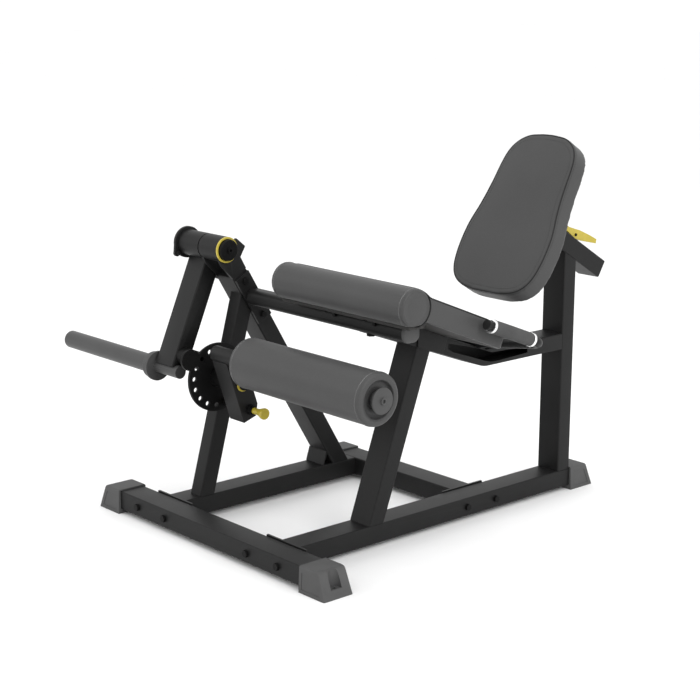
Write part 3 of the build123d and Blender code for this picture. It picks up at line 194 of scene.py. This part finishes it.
def stained_board(name):
    """Black stained plywood: long grain bands."""
    m, n, links, p = new_material(name)
    co = n.new("ShaderNodeTexCoord")
    stretch = n.new("ShaderNodeMapping")
    stretch.inputs["Scale"].default_value = (4.0, 120.0, 120.0)
    links.new(co.outputs["Object"], stretch.inputs["Vector"])
    grain = n.new("ShaderNodeTexNoise")
    grain.inputs["Scale"].default_value = 1.0
    grain.inputs["Detail"].default_value = 6.0
    links.new(stretch.outputs["Vector"], grain.inputs["Vector"])
    tone = ramp(n, links, grain.outputs["Fac"], (0.008, 0.0075, 0.007), (0.02, 0.0185, 0.0175))
    links.new(tone.outputs["Color"], p.inputs["Base Color"])
    p.inputs["Roughness"].default_value = 0.7
    b = bump(n, links, grain.outputs["Fac"], 0.3, 0.0004)
    links.new(b.outputs["Normal"], p.inputs["Normal"])
    return m


GREY_LOW, GREY_HIGH = (0.049, 0.049, 0.049), (0.0555, 0.0555, 0.0555)
MATERIALS = {
    "frame_paint": painted(
        "frame_paint", (0.0072, 0.0072, 0.0072), (0.0096, 0.0096, 0.0097), 0.46,
        edge=(0.022, 0.022, 0.022), shine=0.18,
    ),
    "horn_grey": painted(
        "horn_grey", (0.048, 0.048, 0.048), (0.055, 0.055, 0.055), 0.42, 0.12,
        edge=(0.1, 0.1, 0.1), shine=0.25,
    ),
    "black_hardware": painted(
        "black_hardware", (0.0022, 0.0022, 0.0022), (0.0036, 0.0036, 0.0036), 0.5, 0.08,
        edge=(0.014, 0.014, 0.014), shine=0.12,
    ),
    "bearing_steel": metal("bearing_steel", (0.42, 0.42, 0.43), (0.6, 0.6, 0.61), 0.3),
    "rubber": moulded("rubber", (0.062, 0.062, 0.062), (0.075, 0.075, 0.075), 0.62, 420.0, 0.3),
    "pad_vinyl": vinyl("pad_vinyl", GREY_LOW, GREY_HIGH),
    "board": stained_board("board"),
    "core_plastic": moulded("core_plastic", (0.02, 0.02, 0.02), (0.03, 0.03, 0.03), 0.5),
    "liner_plastic": moulded("liner_plastic", (0.01, 0.01, 0.01), (0.014, 0.014, 0.014), 0.5),
    "grip_foam": moulded("grip_foam", (0.05, 0.05, 0.05), (0.062, 0.062, 0.062), 0.75, 260.0, 0.5),
    "ring_metal": metal("ring_metal", (0.86, 0.86, 0.86), (0.95, 0.95, 0.95), 0.22),
    "yellow_plastic": moulded(
        "yellow_plastic", (0.42, 0.335, 0.035), (0.5, 0.4, 0.06), 0.3, 300.0, 0.08, coat=0.3,
    ),
}
thread = moulded("seam_thread", (0.03, 0.03, 0.03), (0.045, 0.045, 0.045), 0.6, 900.0, 0.4)
cord_vinyl = vinyl("cord_vinyl", (0.06, 0.06, 0.06), (0.068, 0.068, 0.068), 0.16, 900.0, shine=0.9)
# Near-black vinyl for the crease cords: painted shade in the creases round the cushions' front faces.
painted_crease_shade = vinyl("painted_crease_shade", (0.014, 0.014, 0.014), (0.02, 0.02, 0.02), 0.5, 900.0, shine=0.15)

slots = {s["node"]: s["material_slot"] for s in frame["record"]["subparts"]}

# ------------------------------------------------------------------ CAD nodes: materials and softened edges
EDGE_BEVEL = 0.0011
BEVELS = {
    "base_bolts": 0.0008,
    "flange_bolts": 0.0008,
    "rubber_feet": 0.0025,
    "lever_tube": 0.002,
    "sleeve_liner": 0.0003,
}
WELD_DISTANCE = 0.00002
for name, o in nodes.items():
    o.data.materials.clear()
    o.data.materials.append(MATERIALS[slots[name]])
    with bpy.context.temp_override(active_object=o, object=o, selected_objects=[o]):
        bpy.ops.mesh.customdata_custom_splitnormals_clear()
    o.data.polygons.foreach_set("use_smooth", [True] * len(o.data.polygons))
    weld = o.modifiers.new("weld", "WELD")
    weld.merge_threshold = WELD_DISTANCE
    flat = o.modifiers.new("flats", "DECIMATE")
    flat.decimate_type = "DISSOLVE"
    flat.angle_limit = math.radians(0.4)
    bevel = o.modifiers.new("edges", "BEVEL")
    bevel.width = BEVELS.get(name, EDGE_BEVEL)
    bevel.segments = 2
    bevel.limit_method = "ANGLE"
    bevel.angle_limit = math.radians(32)
    bevel.harden_normals = True
    bevel.use_clamp_overlap = True


# ------------------------------------------------------------------ mesh helpers
ON_AXIS = 1e-6              # a ring smaller than this is a single point


def make_object(name, bm, material, smooth=True):
    me = bpy.data.meshes.new(name)
    bmesh.ops.recalc_face_normals(bm, faces=bm.faces)
    bm.to_mesh(me)
    bm.free()
    me.materials.append(material)
    if smooth:
        me.polygons.foreach_set("use_smooth", [True] * len(me.polygons))
    o = bpy.data.objects.new(name, me)
    bpy.context.scene.collection.objects.link(o)
    return o


def revolve(profile, place, steps=96, ripple=None):
    """Closed solid of revolution.

    profile is (distance along the axis, radius); place maps (x, y, z), with x the axis.
    """
    bm = bmesh.new()
    rings = []
    for along, radius in profile:
        if radius < ON_AXIS:
            rings.append([bm.verts.new(place(along, 0, 0))])
            continue
        ring = []
        for k in range(steps):
            a = 2 * math.pi * k / steps
            r = radius + (ripple(along, a) if ripple else 0.0)
            ring.append(bm.verts.new(place(along, r * math.cos(a), r * math.sin(a))))
        rings.append(ring)
    for one, two in zip(rings, rings[1:]):
        for k in range(steps):
            j = (k + 1) % steps
            if len(one) == 1:
                bm.faces.new((one[0], two[k], two[j]))
            elif len(two) == 1:
                bm.faces.new((one[k], two[0], one[j]))
            else:
                bm.faces.new((one[k], two[k], two[j], one[j]))
    return bm


def tube_along(points, radius, sides=8, closed=False):
    """Tube round a line of points."""
    bm = bmesh.new()
    count = len(points)
    rings = []
    up = None
    for i, p in enumerate(points):
        before = points[i - 1] if i or closed else p
        after = points[(i + 1) % count] if i + 1 < count or closed else p
        tangent = (after - before).normalized()
        if up is None:
            up = tangent.orthogonal().normalized()
        up = (up - tangent * up.dot(tangent)).normalized()
        other = tangent.cross(up)
        ring = []
        for k in range(sides):
            a = 2 * math.pi * k / sides
            ring.append(bm.verts.new(p + up * radius * math.cos(a) + other * radius * math.sin(a)))
        rings.append(ring)
    pairs = list(zip(rings, rings[1:]))
    if closed:
        pairs.append((rings[-1], rings[0]))
    for one, two in pairs:
        best = 0
        if closed and two is rings[0]:
            best = min(range(sides), key=lambda s: (one[0].co - two[s].co).length)
        for k in range(sides):
            j = (k + 1) % sides
            bm.faces.new((one[k], one[j], two[(j + best) % sides], two[(k + best) % sides]))
    if not closed:
        bm.faces.new(rings[0])
        bm.faces.new(rings[-1])
    return bm


def along_x(axis, lat=0.0):
    """Place map for a revolved piece whose axis runs along X through a side-view point."""
    centre = at(lat, axis[0], axis[1])
    return lambda x, y, z: centre + Vector((x, y, z))


def arc(cx, cr, radius, start, end, steps=6):
    """Profile points on a quarter round."""
    out = []
    for i in range(steps + 1):
        a = math.radians(start + (end - start) * i / steps)
        out.append((cx + radius * math.cos(a), cr + radius * math.sin(a)))
    return out


def spread(a, b, count):
    """Profile points strictly between two others."""
    return [(a[0] + (b[0] - a[0]) * i / count, a[1] + (b[1] - a[1]) * i / count) for i in range(1, count)]


# ------------------------------------------------------------------ upholstered rollers
SEAM_CORD_R = 0.001
SEAM_SINK = 0.0001          # how far a seam cord's middle lies below the cover
SEAM_IN = 0.013             # seam to the roller's end
GATHER_IN = 0.016           # deepest gathers to the roller's end
GATHER_REACH = 0.016        # how far the gathers fade out from there
SEAM_STEPS = 120
ROUND_STEPS = 128
LENGTH_STEPS = 64


def soft_ripple(half, seam, depth):
    """Gentle unevenness of stretched vinyl: gathers near the end seams, a faint sag between."""
    def ripple(x, a):
        near_end = math.exp(-((abs(x) - (half - seam)) / GATHER_REACH) ** 2)
        gather = math.sin(a * 23 + 2.1 * math.sin(a * 5)) * near_end
        slow = math.sin(a * 3 + x * 9) + math.sin(a * 2 - x * 14)
        return depth * (0.7 * gather + 0.35 * slow)
    return ripple


def seam_ring(name, x, axis, radius, body):
    """Seam cord round a roller's end."""
    centre = at(x, axis[0], axis[1])
    turns = [2 * math.pi * k / SEAM_STEPS for k in range(SEAM_STEPS)]
    pts = [centre + Vector((0, radius * math.cos(a), radius * math.sin(a))) for a in turns]
    o = make_object(name, tube_along(pts, SEAM_CORD_R, 8, True), cord_vinyl)
    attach(o, body)
    return o


ROLLER_R, ROLLER_HALF, RECESS_R, RECESS = 0.0645, 0.2422, 0.046, 0.012
SHOULDER, CORE_R, LIP_R = 0.009, 0.0245, 0.003
edge_r = ROLLER_R - SHOULDER
profile = [(-ROLLER_HALF, CORE_R), (-ROLLER_HALF, 0.034), (-ROLLER_HALF, edge_r - 0.002)]
profile += arc(-ROLLER_HALF + SHOULDER, edge_r, SHOULDER, 180, 90)
profile += spread((-ROLLER_HALF + SHOULDER, ROLLER_R), (ROLLER_HALF - SHOULDER, ROLLER_R), LENGTH_STEPS)
profile += arc(ROLLER_HALF - SHOULDER, edge_r, SHOULDER, 90, 0)
profile += [(ROLLER_HALF, edge_r - 0.002), (ROLLER_HALF, RECESS_R + LIP_R)]
profile += arc(ROLLER_HALF - LIP_R, RECESS_R + LIP_R, LIP_R, 0, -90, 3)
profile += [(ROLLER_HALF - RECESS, r) for r in (RECESS_R, 0.035, CORE_R)]
profile += [(0, CORE_R), (-ROLLER_HALF, CORE_R)]
ripple = soft_ripple(ROLLER_HALF, GATHER_IN, 0.00035)
shape = revolve(profile, along_x(ROLLER_AXIS), ROUND_STEPS, ripple)
roller = make_object("roller_cushion", shape, MATERIALS["pad_vinyl"])
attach(roller, "shin_roller")
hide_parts("roller_pad")
for side, x in (("left", -ROLLER_HALF + SEAM_IN), ("right", ROLLER_HALF - SEAM_IN)):
    seam_ring("roller_seam_" + side, x, ROLLER_AXIS, ROLLER_R - SEAM_SINK, "shin_roller")

# Knee roll: fixed, lying on its brackets with a flat underside.
ROLL_R, ROLL_HALF = 0.0465, 0.2412
ROLL_FLAT = -0.0407
ROLL_ROUND, ROLL_SHOULDER = 0.008, 0.009
crown = [(0.0, 0.0), (0.0002, 0.014), (0.0008, 0.028), (0.002, ROLL_R - ROLL_ROUND)]
profile = [(-ROLL_HALF + sink, r) for sink, r in crown]
profile += arc(-ROLL_HALF + ROLL_SHOULDER, ROLL_R - ROLL_ROUND, ROLL_ROUND, 172, 90)
profile += spread((-ROLL_HALF + ROLL_SHOULDER, ROLL_R), (ROLL_HALF - ROLL_SHOULDER, ROLL_R), LENGTH_STEPS)
profile += arc(ROLL_HALF - ROLL_SHOULDER, ROLL_R - ROLL_ROUND, ROLL_ROUND, 90, 8)
profile += [(ROLL_HALF - sink, r) for sink, r in reversed(crown)]
roll_centre = at(0, *ROLL_AXIS)


def roll_place(x, y, z):
    """The roll's underside is pressed flat by what it rests on."""
    return roll_centre + Vector((x, y, max(z, ROLL_FLAT)))


shape = revolve(profile, roll_place, ROUND_STEPS, soft_ripple(ROLL_HALF, GATHER_IN, 0.0003))
roll = make_object("knee_roll_cushion", shape, MATERIALS["pad_vinyl"])
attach(roll, "frame")
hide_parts("knee_roll_pad")
for side, x in (("left", -ROLL_HALF + SEAM_IN), ("right", ROLL_HALF - SEAM_IN)):
    o = seam_ring("knee_roll_seam_" + side, x, ROLL_AXIS, ROLL_R - SEAM_SINK, "frame")
    for v in o.data.vertices:
        v.co.z = max(v.co.z, roll_centre.z + ROLL_FLAT)

# The roll's flat base board under the roll, in the near-black board material as painted shade instead of
# the roll's vinyl.
STRIP_FRONT, STRIP_REAR, STRIP_LOW, STRIP_HIGH = 0.2498, 0.3, 0.592, 0.6035
STRIP_HALF = 0.2315
STRIP_NOSE = 0.0052         # radius of the rounded front
STRIP_END = 0.0025          # length of the softened ends


def strip_section():
    """Side-view outline of the base strip, rounded at its front."""
    mid = (STRIP_LOW + STRIP_HIGH) / 2
    pts = [(STRIP_REAR, STRIP_HIGH - 0.0005), (STRIP_REAR, STRIP_LOW)]
    for k in range(9):
        a = math.radians(-90 - 180 * k / 8)
        along = STRIP_FRONT + STRIP_NOSE + STRIP_NOSE * math.cos(a)
        pts.append((along, mid + (STRIP_HIGH - STRIP_LOW) / 2 * math.sin(a)))
    return pts


bm = bmesh.new()
section = strip_section()
ends = [STRIP_HALF - STRIP_END, STRIP_HALF - 0.0007, STRIP_HALF]
stations = [-v for v in reversed(ends)] + [ends[0] * (k / 20 - 1) for k in range(1, 40)] + ends
rings = []
for lat in stations:
    end = max(0.0, abs(lat) - ends[0]) / STRIP_END
    ring = []
    for along, up in section:
        sway = 0.0003 * math.sin(lat * 60) * (along < 0.26)
        pull = 0.0018 * end * end
        along += sway + (pull if along < 0.28 else -pull * 0.3)
        up += pull * 0.6 if up < 0.597 else -pull * 0.6
        ring.append(bm.verts.new(at(lat, along, up)))
    rings.append(ring)
for one, two in zip(rings, rings[1:]):
    for k in range(len(section)):
        j = (k + 1) % len(section)
        bm.faces.new((one[k], one[j], two[j], two[k]))
bm.faces.new(rings[0])
bm.faces.new(rings[-1])
# Board material in place of the roll's vinyl: painted shade under the knee roll.
strip = make_object("knee_roll_base", bm, MATERIALS["board"])
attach(strip, "frame")

# ------------------------------------------------------------------ seat and back cushions
SPLINE_STEPS = 24


def evenly(loop, count):
    """Points at equal steps round a closed line."""
    n = len(loop)
    lengths = [(loop[(i + 1) % n] - loop[i]).length for i in range(n)]
    total = sum(lengths)
    out, i, run = [], 0, 0.0
    for k in range(count):
        want = total * k / count
        while run + lengths[i] < want:
            run += lengths[i]
            i += 1
        out.append(loop[i].lerp(loop[(i + 1) % n], (want - run) / max(lengths[i], 1e-9)))
    return out


def closed_spline(points, count):
    """Evenly spaced points on a closed smooth curve through the given ones."""
    n = len(points)
    dense = []
    for i in range(n):
        p0, p1, p2, p3 = (Vector(points[(i + j - 1) % n]) for j in range(4))
        for k in range(SPLINE_STEPS):
            t = k / SPLINE_STEPS
            square = (2 * p0 - 5 * p1 + 4 * p2 - p3) * t * t
            cube = (3 * p1 - p0 - 3 * p2 + p3) * t ** 3
            dense.append(0.5 * ((2 * p1) + (p2 - p0) * t + square + cube))
    return evenly(dense, count)


def pad_shell(outline, to_world, thick, crown, edge_round, inset=0.0, rings=16):
    """Closed cushion over an outline: crowned front, rounded front edge, straight side band, flat back."""
    bm = bmesh.new()
    centre = sum(outline, Vector((0, 0))) / len(outline)

    def pulled_in(amount):
        return [p - (p - centre).normalized() * amount for p in outline]

    layers = []
    for i in range(1, rings + 1):
        f = i / rings
        z = thick - crown * (f ** 3)
        shrink = edge_round + inset
        scaled = [centre + (p - centre) * f * (1 - shrink / (p - centre).length) for p in outline]
        layers.append((scaled, z))
    top = thick - crown
    for k in range(1, 5):
        a = math.pi / 2 * k / 4
        shift = edge_round * (1 - math.sin(a)) + inset
        layers.append((pulled_in(shift), top - edge_round * (1 - math.cos(a))))
    for k in range(1, 7):
        layers.append((pulled_in(inset), (top - edge_round) * (1 - k / 6)))
    for k in range(1, 6):
        f = 1 - k / 6
        layers.append(([centre + (p - centre) * f for p in outline], 0.0))
    count = len(outline)
    rows = [[bm.verts.new(to_world(p.x, p.y, z)) for p in pts] for pts, z in layers]
    first = bm.verts.new(to_world(centre.x, centre.y, thick))
    last = bm.verts.new(to_world(centre.x, centre.y, 0.0))
    for k in range(count):
        j = (k + 1) % count
        bm.faces.new((first, rows[0][k], rows[0][j]))
        bm.faces.new((last, rows[-1][j], rows[-1][k]))
    for one, two in zip(rows, rows[1:]):
        for k in range(count):
            j = (k + 1) % count
            bm.faces.new((one[k], two[k], two[j], one[j]))
    return bm


def inflate(o, held, cap, voxel=0.0048, pressure=3.0, frames=20):
    """Swells a closed cushion as foam under its cover.

    held(point) is True where the cover is glued to its board or sewn; cap limits each vertex's travel.
    """
    o.data.remesh_voxel_size = voxel
    o.data.use_remesh_fix_poles = False
    with bpy.context.temp_override(active_object=o, object=o, selected_objects=[o]):
        bpy.ops.object.voxel_remesh()
    rest = [v.co.copy() for v in o.data.vertices]
    pins = o.vertex_groups.new(name="held")
    pins.add([i for i, co in enumerate(rest) if held(co)], 1.0, "REPLACE")
    cloth = o.modifiers.new("cover", "CLOTH")
    st = cloth.settings
    st.quality = 5
    st.mass = 0.3
    st.tension_stiffness = 18
    st.compression_stiffness = 18
    st.shear_stiffness = 8
    st.bending_stiffness = 2
    st.vertex_group_mass = "held"
    st.use_pressure = True
    st.uniform_pressure_force = pressure
    st.effector_weights.gravity = 0
    cloth.collision_settings.use_collision = False
    cloth.point_cache.frame_start = 1
    cloth.point_cache.frame_end = frames
    scene = bpy.context.scene
    for f in range(1, frames + 1):
        scene.frame_set(f)
    swollen = o.evaluated_get(bpy.context.evaluated_depsgraph_get())
    moved = [v.co.copy() for v in swollen.to_mesh().vertices]
    swollen.to_mesh_clear()
    o.modifiers.remove(cloth)
    o.vertex_groups.remove(pins)
    for v, a, b in zip(o.data.vertices, rest, moved):
        d = b - a
        if d.length > cap:
            d *= cap / d.length
        v.co = a + d
    scene.frame_set(1)
    o.data.polygons.foreach_set("use_smooth", [True] * len(o.data.polygons))


def near_line(points, reach):
    """Test for places within reach of a line of points."""
    tree = KDTree(len(points))
    for i, p in enumerate(points):
        tree.insert(p, i)
    tree.balance()
    return lambda co: tree.find(co)[2] < reach


def inset_line(outline, centre_point, amount, to_world, z):
    """An outline drawn in (or out) by amount, at height z on its cushion."""
    return [to_world(*(p - (p - centre_point).normalized() * amount), z) for p in outline]


def relax(o, times):
    """Evens out the voxel steps of a remeshed cushion."""
    bm = bmesh.new()
    bm.from_mesh(o.data)
    for _ in range(times):
        bmesh.ops.smooth_vert(
            bm, verts=bm.verts, factor=0.5, use_axis_x=True, use_axis_y=True, use_axis_z=True,
        )
    bm.to_mesh(o.data)
    bm.free()


def clamp(o, inside):
    """Keeps every vertex of a cushion inside the room it has."""
    for v in o.data.vertices:
        v.co = inside(v.co)


def surface_line(o, points, lift=0.0):
    """Points carried onto a cushion's surface."""
    out = []
    for p in points:
        ok, hit, normal, _ = o.closest_point_on_mesh(p)
        out.append(hit + normal * lift if ok else p)
    return out


def crease_shade_cord(name, o, points, radius, body):
    """Cord sunk in the crease round a cushion's face, coloured near-black as painted crease shade."""
    line = surface_line(o, points, radius * 0.25)
    for _ in range(3):
        line = [(line[i - 1] + line[i] * 2 + line[(i + 1) % len(line)]) / 4 for i in range(len(line))]
    cord = make_object(name, tube_along(line, radius, 8, True), painted_crease_shade)
    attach(cord, body)


STITCH_STEP = 0.0007        # spacing of the points a stitch is laid along


def stitches(name, o, points, body, length=0.0042, gap=0.0026, radius=0.00045):
    """A row of separate thread stitches following a closed line on a cushion."""
    line = surface_line(o, points, radius * 0.4)
    bm_all = bmesh.new()
    pos = []
    for i in range(len(line)):
        a, b = line[i], line[(i + 1) % len(line)]
        seg = (b - a).length
        steps = max(1, int(seg / STITCH_STEP))
        for k in range(steps):
            pos.append(a.lerp(b, k / steps))
    pitch = length + gap
    here = 0.0
    current = []
    for i in range(1, len(pos)):
        here += (pos[i] - pos[i - 1]).length
        phase = here % pitch
        if phase < length:
            current.append(pos[i])
        elif current:
            if len(current) > 2:
                t = tube_along([current[0], current[len(current) // 2], current[-1]], radius, 5)
                me = bpy.data.meshes.new("t")
                t.to_mesh(me)
                t.free()
                bm_all.from_mesh(me)
                bpy.data.meshes.remove(me)
            current = []
    row = make_object(name, bm_all, thread)
    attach(row, body)


# Back cushion, in the slide's own directions.
SLIDE_AT = (1.0055, 0.7028)
slide_origin = at(0, *SLIDE_AT)
forward = Vector((0, -math.cos(SLIDE_ANGLE), math.sin(SLIDE_ANGLE)))
upward = Vector((0, math.sin(SLIDE_ANGLE), math.cos(SLIDE_ANGLE)))
BACK_AT = 0.115             # slide to the cushion's flat back
BACK_THICK = 0.060
back_half = [
    (0, -233), (50, -232), (92, -224), (122, -207), (141, -178), (150, -135), (152, -90), (149, -50),
    (137, 5), (130, 50), (126, 90), (123, 130), (117, 165), (103, 192), (82, 210), (54, 221), (0, 225),
]
back_loop = back_half + [(-x, y) for x, y in reversed(back_half[1:-1])]
back_outline = closed_spline([(x / 1000, y / 1000) for x, y in back_loop], 220)


def back_world(x, y, z):
    """z is measured forward from the cushion's flat back."""
    return slide_origin + Vector((1, 0, 0)) * x + upward * y + forward * (BACK_AT + z)


BACK_CROWN, SEAT_CROWN = 0.005, 0.004
PAD_ROUND = 0.006           # front edge of a cushion
PAD_GROW = 0.0005           # a cushion starts this much wider all round, and thinner
GLUED = 0.014               # depth of cover held by the board
SEAM_IN_FACE = 0.002        # held seam, in from the outline
SEAM_REACH = 0.009          # how near to the seam the cover is held
PAD_SWELL = 0.005           # most that a cover moves
SKIN = 0.0004               # clear space between a cushion and what it lies on
CREASE_IN, CREASE_DOWN = 0.0015, 0.0075
BACK_CREASE_CORD_R, SEAT_CREASE_CORD_R = 0.0019, 0.0017
shape = pad_shell(back_outline, back_world, BACK_THICK - PAD_GROW, BACK_CROWN, PAD_ROUND, -PAD_GROW)
back = make_object("back_cushion", shape, MATERIALS["pad_vinyl"])


def back_depth(co):
    """Distance of a point in front of the cushion's flat back."""
    return (co - slide_origin).dot(forward) - BACK_AT


back_centre = sum(back_outline, Vector((0, 0))) / len(back_outline)
seam_height = BACK_THICK - BACK_CROWN - 0.002
seam_line = inset_line(back_outline, back_centre, SEAM_IN_FACE, back_world, seam_height)
back_seam = near_line(seam_line, SEAM_REACH)
inflate(back, lambda co: back_depth(co) < GLUED or back_seam(co), PAD_SWELL)
relax(back, 2)
clamp(back, lambda co: co - forward * min(0.0, back_depth(co) - SKIN))
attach(back, "back_carriage")
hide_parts("back_pad")

# A near-black cord along the back cushion's crease: painted shade where the front face turns into the side
# band.
crease = inset_line(back_outline, back_centre, CREASE_IN, back_world, BACK_THICK - CREASE_DOWN)
crease_shade_cord("back_crease_shade_cord", back, crease, BACK_CREASE_CORD_R, "back_carriage")
FRONT_ROW_IN, SIDE_ROW_OUT, SIDE_ROW_DOWN = 0.014, 0.004, 0.014
row = inset_line(back_outline, back_centre, FRONT_ROW_IN, back_world, BACK_THICK)
stitches("back_stitch_front", back, row, "back_carriage")
row = inset_line(back_outline, back_centre, -SIDE_ROW_OUT, back_world, BACK_THICK - SIDE_ROW_DOWN)
stitches("back_stitch_side", back, row, "back_carriage")

# Seat cushion: a side outline drawn through the seat's width.
SEAT_FRONT = (0.279, 0.684)
SEAT_HALF, SEAT_LENGTH, SEAT_THICK = 0.240, 0.333, 0.064
SEAT_START, SEAT_CORNER = 0.006, 0.022
SEAT_GLUED, SEAT_TUCKED = 0.016, 0.05


def seat_world(x, back_dist, height):
    """height is measured from the seat's underside; back_dist along its slope."""
    drop = SEAT_THICK - height
    along = SEAT_FRONT[0] + math.cos(SEAT_ANGLE) * back_dist - math.sin(SEAT_ANGLE) * drop
    up = SEAT_FRONT[1] - math.sin(SEAT_ANGLE) * back_dist - math.cos(SEAT_ANGLE) * drop
    return at(x, along, up)


def seat_local(co):
    """(lateral, distance back, height) of a point."""
    along = co.y - FRONT_Y - SEAT_FRONT[0]
    up = co.z - BASE_Z - SEAT_FRONT[1]
    back_dist = math.cos(SEAT_ANGLE) * along - math.sin(SEAT_ANGLE) * up
    drop = -math.sin(SEAT_ANGLE) * along - math.cos(SEAT_ANGLE) * up
    return co.x - SEAT_X, back_dist, SEAT_THICK - drop


def rounded_box(x0, x1, y0, y1, radius, count):
    """Evenly spaced points round a rectangle with rounded corners."""
    corners = (
        (x1 - radius, y1 - radius, 0),
        (x0 + radius, y1 - radius, 90),
        (x0 + radius, y0 + radius, 180),
        (x1 - radius, y0 + radius, 270),
    )
    pts = []
    for cx, cy, a0 in corners:
        for k in range(7):
            a = math.radians(a0 + 90 * k / 6)
            pts.append(Vector((cx + radius * math.cos(a), cy + radius * math.sin(a))))
    return evenly(pts, count)


seat_outline = rounded_box(-SEAT_HALF, SEAT_HALF, SEAT_START, SEAT_LENGTH, SEAT_CORNER, 260)
shape = pad_shell(
    seat_outline, seat_world, SEAT_THICK - PAD_GROW, SEAT_CROWN, PAD_ROUND, -PAD_GROW, 20,
)
seat = make_object("seat_cushion", shape, MATERIALS["pad_vinyl"])


def clear_of_roll(co):
    """The seat's front is hollowed round the knee roll."""
    flat = Vector((0, co.y - roll_centre.y, co.z - roll_centre.z))
    reach = ROLL_R + SKIN
    if flat.length < reach:
        flat = flat.normalized() * reach if flat.length > ON_AXIS else Vector((0, reach, 0))
        return Vector((co.x, roll_centre.y + flat.y, roll_centre.z + flat.z))
    return co


def seat_room(co):
    """Keeps a vertex above the seat board and clear of the knee roll."""
    x, d, h = seat_local(co)
    if h < SKIN:
        co = seat_world(x, d, SKIN)
    return clear_of_roll(co)


seat_centre = Vector((0, (SEAT_START + SEAT_LENGTH) / 2))
seam_line = inset_line(seat_outline, seat_centre, SEAM_IN_FACE, seat_world, SEAT_THICK - 0.006)
seat_seam = near_line(seam_line, SEAM_REACH)


def seat_held(co):
    """Glued to the board, tucked against the knee roll, or sewn."""
    _, back_dist, height = seat_local(co)
    return height < SEAT_GLUED or back_dist < SEAT_TUCKED or seat_seam(co)


inflate(seat, seat_held, PAD_SWELL)
relax(seat, 2)
clamp(seat, seat_room)
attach(seat, "frame")
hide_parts("seat_pad")
# A near-black cord along the seat cushion's crease: painted shade where the front face turns into the side
# band.
crease = inset_line(seat_outline, seat_centre, CREASE_IN, seat_world, SEAT_THICK - CREASE_DOWN)
crease_shade_cord("seat_crease_shade_cord", seat, crease, SEAT_CREASE_CORD_R, "frame")

# ------------------------------------------------------------------ hand grips
GRIP_LAT, GRIP_R, RING_W = 0.268, 0.0170, 0.008
GRIP_ROUND, GRIP_SWELL, BAR_R = 0.003, 0.0004, 0.0127
grip_dir = Vector((0, GRIP_REAR[0] - GRIP_FRONT[0], GRIP_REAR[1] - GRIP_FRONT[1]))
grip_len = grip_dir.length
grip_dir.normalize()
grip_up = Vector((1, 0, 0)).cross(grip_dir)
for side, sign in (("left", -1), ("right", 1)):
    start = at(sign * GRIP_LAT, *GRIP_FRONT)

    def grip_place(x, y, z, start=start):
        return start + grip_dir * x + Vector((1, 0, 0)) * y + grip_up * z

    a, b = RING_W, grip_len - RING_W
    prof = [(a, BAR_R), (a, GRIP_R - GRIP_ROUND)]
    prof += arc(a + GRIP_ROUND, GRIP_R - GRIP_ROUND, GRIP_ROUND, 180, 90, 3)
    for x, _ in spread((a + GRIP_ROUND, 0), (b - GRIP_ROUND, 0), 30):
        prof.append((x, GRIP_R + GRIP_SWELL * math.sin(math.pi * (x - a) / (b - a))))
    prof += arc(b - GRIP_ROUND, GRIP_R - GRIP_ROUND, GRIP_ROUND, 90, 0, 3) + [(b, BAR_R), (a, BAR_R)]
    grip = make_object("grip_foam_" + side, revolve(prof, grip_place, 64), MATERIALS["grip_foam"])
    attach(grip, "frame")
    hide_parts("handle_grips")

# ------------------------------------------------------------------ floor, light, camera
FLOOR_HALF = 30.0
floor_bm = bmesh.new()
bmesh.ops.create_grid(floor_bm, x_segments=2, y_segments=2, size=FLOOR_HALF)
floor_mat, n, links, p = new_material("studio_floor")
co = n.new("ShaderNodeTexCoord")
t = noise(n, links, co, 3.0)
r = ramp(n, links, t.outputs["Fac"], (0.9, 0.9, 0.9), (0.93, 0.93, 0.93))
links.new(r.outputs["Color"], p.inputs["Base Color"])
p.inputs["Roughness"].default_value = 0.9
floor = make_object("studio_floor", floor_bm, floor_mat, False)

world = bpy.data.worlds.new("studio")
bpy.context.scene.world = world
world.use_nodes = True
background = world.node_tree.nodes["Background"]
background.inputs["Color"].default_value = (1.0, 1.0, 1.0, 1)
background.inputs["Strength"].default_value = 1.1


def area_light(name, location, target, size, power):
    data = bpy.data.lights.new(name, "AREA")
    data.shape = "RECTANGLE"
    data.size, data.size_y = size
    data.energy = power
    o = bpy.data.objects.new(name, data)
    o.location = location
    o.rotation_euler = (Vector(target) - Vector(location)).to_track_quat("-Z", "Y").to_euler()
    bpy.context.scene.collection.objects.link(o)


area_light("key_light", (4.2, -0.6, 3.0), (0, 0, 0.4), (2.4, 2.4), 92)
area_light("fill_light", (-2.6, -4.2, 2.6), (0, 0, 0.5), (2.6, 2.0), 33)
area_light("top_light", (0.2, 0.2, 4.2), (0, 0, 0), (2.6, 2.6), 24)

camera_data = bpy.data.cameras.new("camera")
camera_data.sensor_width = 36.0
camera_data.lens = 84.16
camera = bpy.data.objects.new("camera", camera_data)
phi, el, roll_angle = math.radians(48.32), math.radians(13.15), math.radians(0.23)
back_v = Vector((math.sin(phi) * math.cos(el), -math.cos(phi) * math.cos(el), math.sin(el)))
right_v = Vector((math.cos(phi), math.sin(phi), 0))
up_v = back_v.cross(right_v)
cam_x = right_v * math.cos(roll_angle) + up_v * math.sin(roll_angle)
cam_y = -right_v * math.sin(roll_angle) + up_v * math.cos(roll_angle)
camera_at = (SEAT_X + 0.133 + 2.77167, FRONT_Y - 2.31240, BASE_Z + 1.41172)
camera.matrix_world = Matrix((
    (cam_x.x, cam_y.x, back_v.x, camera_at[0]),
    (cam_x.y, cam_y.y, back_v.y, camera_at[1]),
    (cam_x.z, cam_y.z, back_v.z, camera_at[2]),
    (0, 0, 0, 1),
))
bpy.context.scene.collection.objects.link(camera)
bpy.context.scene.camera = camera
bpy.context.scene.view_settings.view_transform = "Standard"
